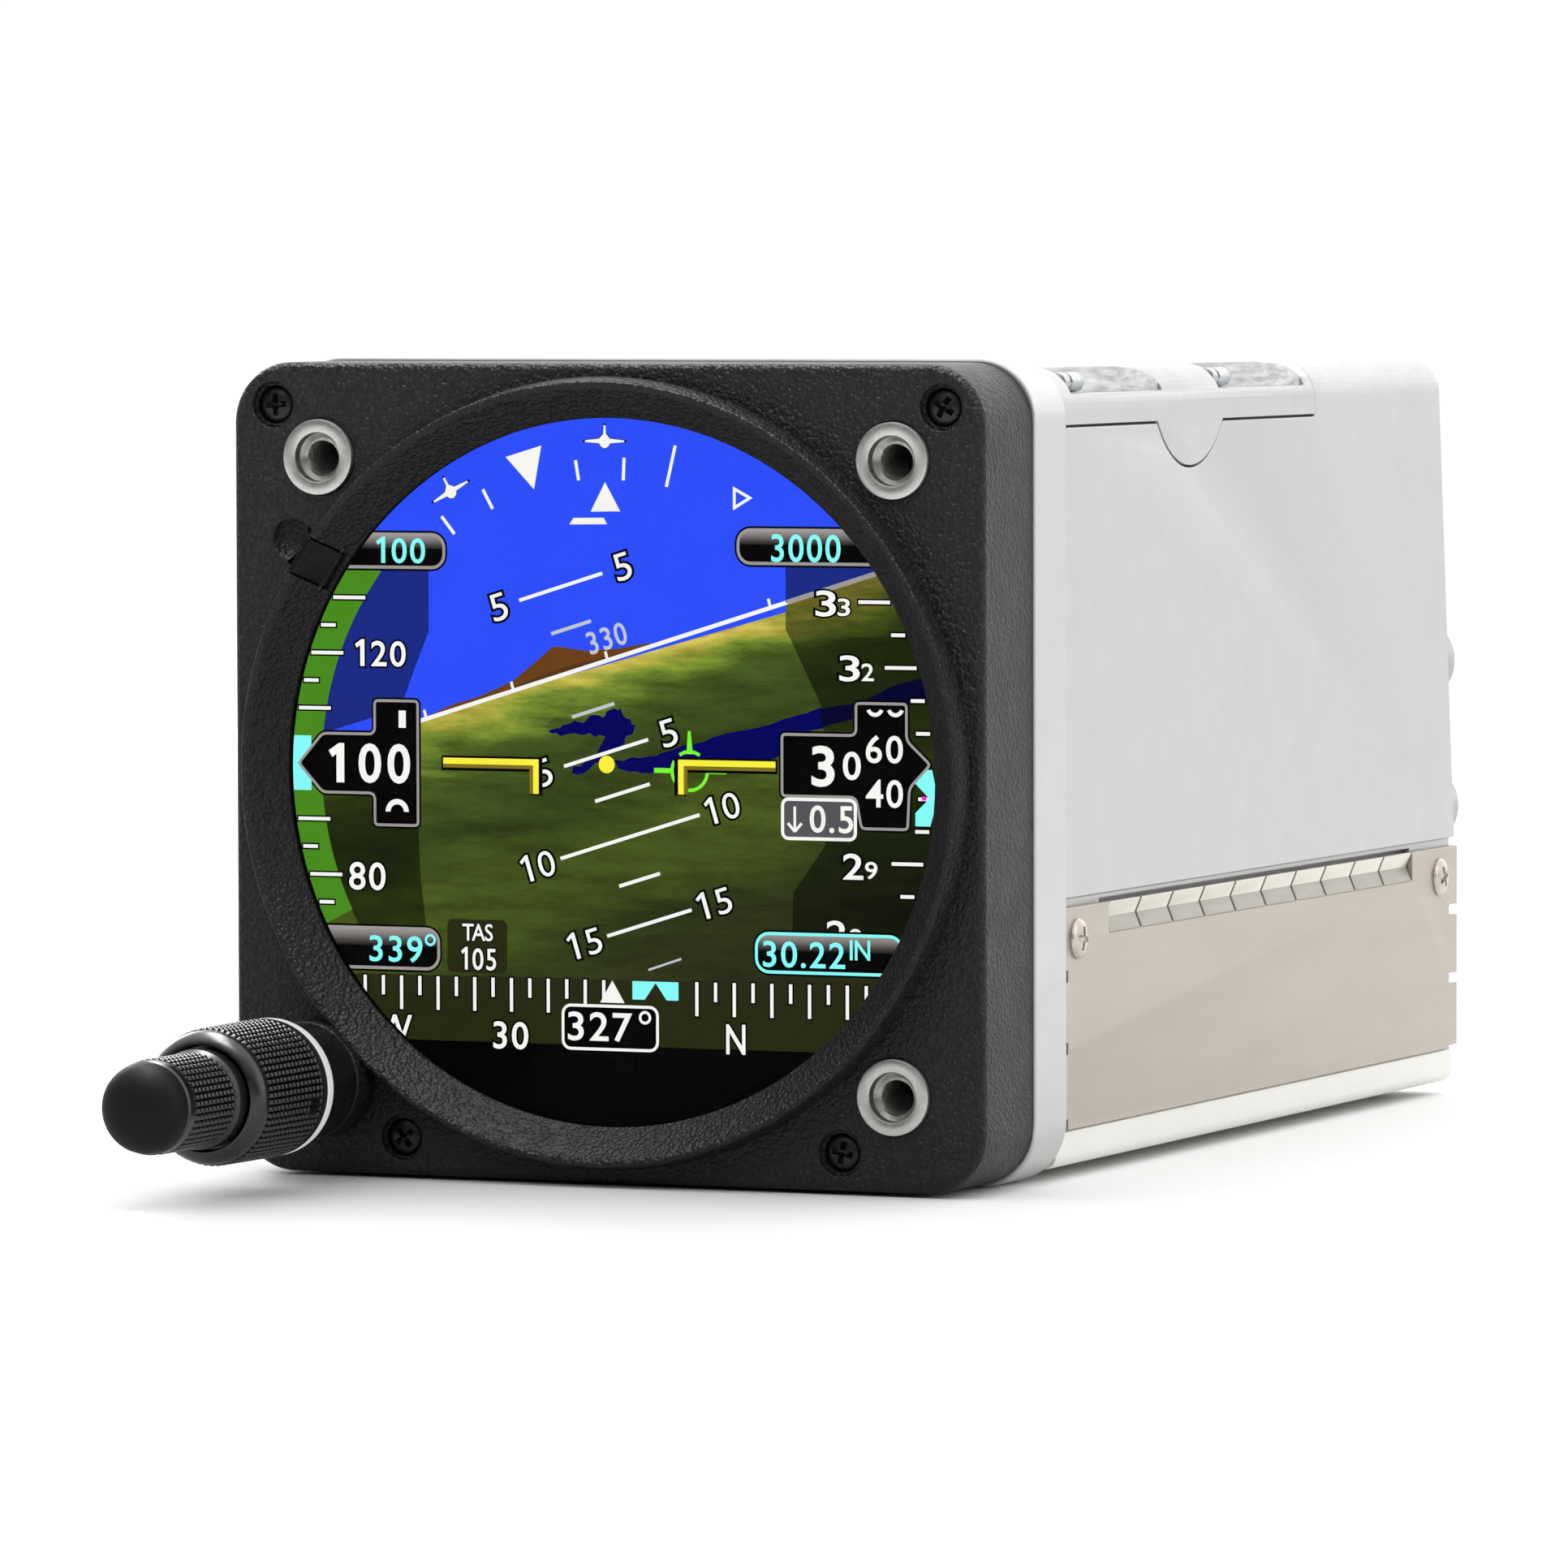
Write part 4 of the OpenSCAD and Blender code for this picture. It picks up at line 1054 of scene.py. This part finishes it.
patch("water", 2, shoreline([(0.4, 0.5), (3.05, 0.0), (7.5, 0.8), (12.8, 1.35), (17.8, 1.8),
    (21.6, 4.6), (26.9, 6.0), (35.4, 8.2), (35.0, 10.4), (34.0, 10.1), (30.4, 9.15),
    (26.9, 7.4), (22.5, 6.85), (17.2, 5.1), (11.0, 3.75), (6.6, 2.4), (3.9, 1.7), (0.2, 1.3)],
    0.22))
patch("water", 3, shoreline([(-7.2, 4.1), (-5.3, 3.7), (-3.2, 3.7), (-0.9, 3.6), (-1.6, 2.3),
    (-3.2, 1.0), (-5.2, -0.4), (-3.9, -0.3), (-1.4, 1.1), (-0.05, 2.45), (2.0, 3.85),
    (2.4, 4.8), (1.2, 5.6), (0.9, 6.5), (-0.6, 6.2), (-1.2, 5.5), (-2.4, 5.7), (-3.3, 4.9),
    (-5.2, 4.75), (-6.2, 4.4)], 0.35))
bar("white", 3, -23.5, on_horizon(-23.5), 19.0, on_horizon(19.0), 0.42)
bar("grey_line", 3, 19.0, on_horizon(19.0), 30.0, on_horizon(30.0), 0.5)
for x in (-20.7, -11.0, -0.6, 17.2):
    bar("white", 3, x, on_horizon(x), x - 0.25, on_horizon(x) + 0.9, 0.3)

# pitch ladder, tilted with the horizon
cos_t, sin_t = math.cos(TILT), math.sin(TILT)
for x, z, length, text in (
        (-5.73, 18.53, 9.6, "5"), (-4.6, 14.48, 4.6, None), (-2.2, 6.2, 4.9, None),
        (-0.8, 1.95, 9.7, "5"), (1.0, -2.0, 6.3, None), (1.8, -6.4, 16.0, "10"),
        (2.85, -10.7, 4.7, None), (3.9, -15.0, 9.7, "15")):
    dx, dz = cos_t * length / 2, sin_t * length / 2
    bar("soft_white" if z > 0 and text is None else "white", 4, x - dx, z - dz, x + dx,
        z + dz, 0.36)
    if text:
        wide = 1.75 if len(text) == 1 else 3.7
        gap = length / 2 + (2.35 if len(text) == 1 else 2.6)
        for side in (-1, 1):
            label(text, x + side * cos_t * gap, z + side * sin_t * gap, wide, 2.75, TILT,
                  halo=0.06, weight=0.0)
bar("soft_white", 4, 3.8, -19.7, 7.4, -18.5, 0.22)
label("330", -0.64, 13.45, 4.4, 2.3, TILT, "soft_white", halo=0)

# airspeed tape on the left
GREEN_IN = 32.45
arc_part("green", 4, 0, 0, GREEN_IN, PICTURE_R + 0.2, 206.4, 142.4, 60)
tape = arc_points(0, 0, GREEN_IN + 0.1, 174.0, 139.8, 20)
patch("navy", 3, tape + [(-20.4, 20.9), (-20.4, 13.9), (-22.2, 9.6), (-23.6, 6.0)])
tape = arc_points(0, 0, GREEN_IN + 0.1, 209.5, 185.0, 20)
patch("ground_dim", 3, tape + [(-24.0, -2.6), (-21.7, -4.5), (-21.45, -10.5), (-20.8, -16.2)])
for i in range(-5, 8):
    z = 0.34 + 2.81 * i
    if abs(z) > 3.4 and -15.4 < z < 19.0:
        x = -math.sqrt(PICTURE_R ** 2 - z * z) + 0.1
        tick(x, z, x + (3.6 if i % 2 == 0 else 1.65), z)
label("120", -25.8, 11.62, 5.7, 2.75)
label("80", -27.36, -11.0, 4.1, 2.85)

# altitude tape on the right
patch("ground_dim", 3, [(18.85, 20.9), (18.85, 14.6), (22.7, 7.0), (23.4, 0.0), (23.1, -6.8),
    (19.6, -11.6), (19.5, -15.4)] + arc_points(0, 0, PICTURE_R + 0.2, -26.0, 36.0, 30))
patch("navy", 4, [(18.85, 20.9), (18.85, on_horizon(18.85)), (29.6, on_horizon(29.6)),
    (30.0, 20.9)])
patch("water_dim", 4, [(22.6, 4.9), (26.9, 6.0), (35.2, 8.0), (35.0, 10.4), (34.4, 10.2),
    (30.4, 9.15), (26.9, 7.4), (22.6, 6.8)])
bar("grey_line", 5, 19.0, on_horizon(19.0), 29.5, on_horizon(29.5), 0.5)
for i in range(-4, 6):
    z = 1.22 + 3.235 * i
    if -14 < z < 18.5 and abs(z - 1.2) > 1.5:
        x = math.sqrt(PICTURE_R ** 2 - z * z) - 0.95
        tick(x - (3.4 if i % 2 == 1 and not -7.0 < z < 6.0 else 1.5), z, x, z)
for big, small, x, z in (("3", "3", 23.2, 17.2), ("3", "2", 25.75, 10.8),
                         ("2", "9", 26.1, -8.85)):
    label(big, x, z, 2.2, 2.6)
    label(small, x + 1.95, z - 0.35, 1.35, 1.75)
bare_label("2", 24.3, -15.55, 2.2, 2.6, layer=5)
bare_label("8", 26.3, -15.9, 1.35, 1.75, layer=5)
left = softened([(-35.2, 0.35), (-32.4, -2.7), (-26.6, -2.7), (-26.6, -5.9), (-21.5, -5.9),
    (-21.5, 6.95), (-26.6, 6.95), (-26.6, 3.55), (-32.4, 3.55)])
right = softened([(18.3, -2.1), (26.3, -2.1), (26.9, -5.2), (32.1, -5.2), (32.3, -1.0),
    (34.6, 1.4), (32.0, 3.8), (32.0, 7.5), (26.3, 7.5), (26.3, 4.3), (18.3, 4.3)])
for outline in (left, right):
    patch("night", 7, shrunk(outline, -0.2))
    rim = shrunk(outline, 0.28)
    frame_part("grey_line", 9, outline, rim)
    patch("night", 9, rim)
patch("cyan", 8, [(-35.8, -2.4), (-33.6, -2.4), (-33.6, -1.2), (-35.1, 0.35), (-33.6, 1.9),
    (-33.6, 3.15), (-35.8, 3.15)])
patch("cyan", 8, [(34.6, 0.9), (32.6, 0.9), (32.7, -0.4), (34.3, -1.94), (32.8, -3.4),
    (32.8, -4.7), (34.4, -4.7), (35.2, -1.9)])
bar("magenta", 9, 33.5, -1.94, 34.0, -1.94, 0.4)
bare_label("1", -30.75, 0.45, 1.75, 4.0, weight=0.03)
for x in (-27.0, -23.75):
    bare_label("0", x, 0.45, 2.55, 4.05, weight=0.02)
patch("white", 12, [(-23.75, 4.1), (-22.95, 4.1), (-22.95, 5.85), (-23.75, 5.85)])
arc_part("white", 12, -23.95, -4.4, 0.75, 1.3, 0, 180, 16)
bare_label("3", 22.9, 1.05, 2.5, 4.1, weight=0.02)
bare_label("0", 26.0, 1.15, 1.95, 2.85, weight=0.015)
for text, z in (("60", 2.85), ("40", -1.55)):
    bare_label(text, 29.5, z, 4.0, 2.8)
for x in (28.5, 30.7):
    arc_part("white", 12, x, 7.0, 0.55, 0.95, 200, 340, 12)

# corner read-outs
readout("speed", -33.5, 20.15, -18.5, 23.8)
bare_label("100", -23.45, 22.05, 5.5, 2.7, "cyan", 13)
readout("altitude", 13.55, 20.95, 31.5, 24.6)
bare_label("3000", 21.1, 22.65, 7.5, 2.8, "cyan", 13)
readout("course", -34.0, -20.4, -19.25, -16.05)
bare_label("339", -24.15, -18.3, 5.95, 2.7, "cyan", 13)
arc_part("cyan", 13, -20.3, -17.3, 0.36, 0.62, 0, 360, 24)
readout("pressure", 15.45, -19.7, 31.5, -15.55, edge="cyan", layer=7)
bare_label("30.22", 20.8, -17.75, 8.9, 2.65, "cyan", 13)
bare_label("IN", 26.85, -17.15, 2.2, 2.0, "cyan", 13)
box = round_outline(18.35, 26.55, -6.35, -2.1, 0.8)
frame_part("white", 14, box, shrunk(box, 0.34))
patch("grey_box", 13, box)
bare_label("0.5", 23.8, -4.2, 4.7, 2.75, layer=15)
bar("white", 15, 19.85, -3.0, 19.85, -5.3, 0.28)
for side in (-1, 1):
    bar("white", 15, 19.85, -5.5, 19.85 + side * 0.75, -4.65, 0.28)
patch("olive", 4, round_outline(-18.45, -11.8, -20.5, -15.1, 0.6))
label("TAS", -15.05, -16.4, 3.4, 1.75)
label("105", -14.95, -19.05, 3.9, 2.35)

# heading tape across the bottom
patch("olive", 3, [(-29.0, -20.9), (-29.0, -28.6), (29.0, -28.2), (29.0, -19.9), (20.0, -20.7)])
patch("night", 4, [(-24.0, -28.6), (24.0, -28.1)]
      + arc_points(0, 0, PICTURE_R + 0.2, -50.0, -130.0, 40))
TICK = 4.085 / 2
for i in range(-2, 26):
    x = -23.58 + TICK * i
    top = -20.98 + 0.006 * (x + 23.6)
    behind_box = -5.8 < x < 4.9 and i % 2 == 0 and i != 10
    if not behind_box and not 1.9 < x < 7.3:
        tick(x, top, x, top - (3.4 if i % 2 == 0 else 1.95))
label("W", -24.35, -26.4, 3.9, 2.9)
label("30", -11.4, -26.7, 3.9, 2.8)
label("N", 13.35, -26.4, 2.1, 3.0)
box = round_outline(-5.75, 4.95, -27.95, -23.3, 1.0)
frame_part("white", 9, box, shrunk(box, 0.3))
patch("night", 8, box)
bare_label("327", -1.5, -25.55, 7.1, 2.95)
arc_part("white", 12, 3.45, -24.5, 0.4, 0.68, 0, 360, 24)
patch("white", 9, [(-1.5, -23.1), (1.2, -23.1), (-0.15, -20.85)])
patch("cyan", 8, [(2.05, -22.7), (3.4, -22.7), (4.6, -21.0), (5.8, -22.7), (7.1, -22.7),
    (7.1, -20.85), (2.05, -20.85)])

# roll scale and small aircraft marks
for x0, z0, x1, z1 in ((-14.31, 28.23, -13.23, 26.28), (-18.92, 25.5, -17.48, 23.72),
                       (-4.06, 31.23, -3.71, 29.21), (1.29, 31.51, 1.19, 29.24),
                       (6.89, 32.76, 5.9, 28.63)):
    bar("white", 4, x0, z0, x1, z1, 0.34)
patch("white", 4, [(-8.64, 28.28), (-7.82, 32.67), (-11.77, 31.51)])
tri = [(13.15, 26.34), (15.3, 27.6), (13.15, 28.75)]
frame_part("white", 4, tri, shrunk(tri, 0.3))
patch("white", 4, [(-2.4, 26.1), (0.85, 26.15), (-0.82, 29.06)])
patch("white", 4, [(-4.75, 24.8), (-0.6, 24.85), (-0.96, 25.5), (-4.3, 25.45)])
for cx, cz, bank in ((-0.84, 33.04, 0.0), (-17.83, 27.88, math.radians(29))):
    half = [(0.0, -0.62), (0.42, -0.42), (0.6, -0.1), (2.15, 0.02), (2.15, 0.2),
            (0.6, 0.36), (0.36, 0.62), (0.14, 0.85), (0.1, 1.7)]
    body = half + [(-x, z) for x, z in reversed(half)]
    c, s = math.cos(bank), math.sin(bank)
    for color, layer, k in (("night", 4, 1.12), ("white", 5, 1.0)):
        patch(color, layer, [(cx + (x * c - z * s) * k, cz + (x * s + z * c) * k)
                             for x, z in body])

# aircraft reference bars, centre dot and flight-path mark
for side, x_in, z in ((-1, -8.5, 0.75), (1, 7.45, 1.0)):
    x_out = x_in + side * 10.3
    bar("night", 9, x_in - side * 0.45, z - 0.1, x_out + side * 0.2, z - 0.1, 1.5)
    bar("night", 9, x_in - side * 0.05, z + 0.6, x_in - side * 0.05, z - 3.2, 1.35)
    bar("yellow_dim", 10, x_in, z - 0.32, x_out, z - 0.32, 0.5)
    bar("yellow_dim", 10, x_in + side * 0.45, z, x_in + side * 0.45, z - 3.05, 0.5)
    bar("yellow", 11, x_in - side * 0.3, z + 0.12, x_out, z + 0.12, 0.62)
    bar("yellow", 11, x_in, z + 0.4, x_in, z - 3.05, 0.62)
patch("yellow", 10, arc_points(-0.69, 0.8, 0.88, 0, 360, 32)[:-1])
for first, last, steps in ((150, 215, 24), (265, 368, 24), (55, 125, 16)):
    arc_part("lime", 8, 8.39, 0.31, 1.75, 2.1, first, last, steps)
for x0, x1 in ((4.5, 6.5), (10.3, 12.4)):
    bar("lime", 8, x0, 0.31, x1, 0.31, 0.5)
patch("lime", 8, [(8.05, 2.0), (8.75, 2.0), (8.5, 4.3), (8.2, 4.3)])

for (color, layer), shape in sorted(picture.items(), key=lambda item: item[0][1]):
    part = piece(f"display_{color}_{layer:02d}", shape, "picture_" + color,
                 flat=True)
    part.visible_diffuse = part.visible_glossy = False

# ---- floor, light, camera ----
bm = bmesh.new()
bmesh.ops.create_circle(bm, cap_ends=True, radius=6.0, segments=96)
mesh = bpy.data.meshes.new("floor")
bm.to_mesh(mesh)
bm.free()
mesh.materials.append(M["floor_pale"])
floor = add_object("floor", mesh)
floor.location = (0, 0, cad_low.z - 0.00002)

world = bpy.data.worlds.new("studio")
bpy.context.scene.world = world
tree = empty_tree(world)
seen = split(tree, add(tree, "TexCoord", {}).outputs["Generated"])
tilted = calc(tree, "MULTIPLY_ADD", seen["Z"], 0.35, seen["Y"])
glow = [(0.0, 0.02), (0.22, 0.04), (0.42, 0.24), (0.6, 0.46), (0.75, 0.6), (0.88, 0.66),
        (0.925, 0.7), (0.945, 0.95), (1.0, 1.0)]
sky = ramp(tree, remap(tree, tilted, 0.0, 1.0, -1.0, 1.1),
           [(at, (v, v, v, 1)) for at, v in glow])
back = add(tree, "Background", {"Color": sky, "Strength": 1.6})
add(tree, "OutputWorld", {"Surface": back.outputs["Background"]})


def softbox(name, spot, aim, width, height, power):
    light = bpy.data.lights.new(name, "AREA")
    light.shape, light.size, light.size_y = "RECTANGLE", width, height
    light.energy = power
    obj = add_object(name, light)
    obj.location = spot
    obj.rotation_mode = "QUATERNION"
    obj.rotation_quaternion = (Vector(aim) - Vector(spot)).to_track_quat("-Z", "Y")
    return obj


softbox("right_box", (0.85, 0.0, 0.30), (0.0, 0.06, 0.0), 0.8, 0.8, 1.6)
softbox("top_box", (-0.1, -0.1, 0.9), (0.0, 0.0, 0.0), 1.8, 1.8, 5.5)
strip_light = softbox("key_strip", (-0.18, -0.05, 0.85), (0.0, 0.0, 0.0), 1.1, 0.3, 17.0)
strip_light.visible_diffuse = False
lit_by_strip = bpy.data.collections.new("lit_by_strip")
black_finishes = [M[name] for name in ("bezel_black", "knob_black", "cap_black",
                                       "door_black", "screw_black")]
for obj in bpy.data.objects:
    if obj.type == "MESH" and obj.data.materials and obj.data.materials[0] in black_finishes:
        lit_by_strip.objects.link(obj)
strip_light.light_linking.receiver_collection = lit_by_strip
softbox("rim_box", (-0.9, 0.8, 0.55), (0.0, 0.0, 0.0), 0.5, 0.5, 5.0)
sun = add_object("overhead", bpy.data.lights.new("overhead", "SUN"))
sun.data.energy, sun.data.angle = 1.4, math.radians(150)
sun.rotation_euler = (math.radians(-8), math.radians(8), 0)

# the photograph's view: turned 23.5 degrees to the right, 3 degrees up, long lens
YAW, RISE, ROLL = math.radians(23.511), math.radians(3.028), math.radians(0.126)
across = Vector((math.cos(YAW), math.sin(YAW), 0))
forward = Vector((-math.sin(YAW) * math.cos(RISE), math.cos(YAW) * math.cos(RISE),
                  -math.sin(RISE)))
upward = across.cross(forward)
right = math.cos(ROLL) * across - math.sin(ROLL) * upward
over = math.sin(ROLL) * across + math.cos(ROLL) * upward
place = Vector((0.41929, -0.91862, 0.05234))
camera = add_object("camera", bpy.data.cameras.new("camera"))
camera.data.sensor_width = 36.0
camera.data.lens = 232.41
camera.data.clip_start, camera.data.clip_end = 0.05, 20.0
camera.matrix_world = Matrix([(right[k], over[k], -forward[k], place[k]) for k in range(3)]
                             + [(0, 0, 0, 1)])
bpy.context.scene.camera = camera
bpy.context.scene.view_settings.view_transform = "Standard"
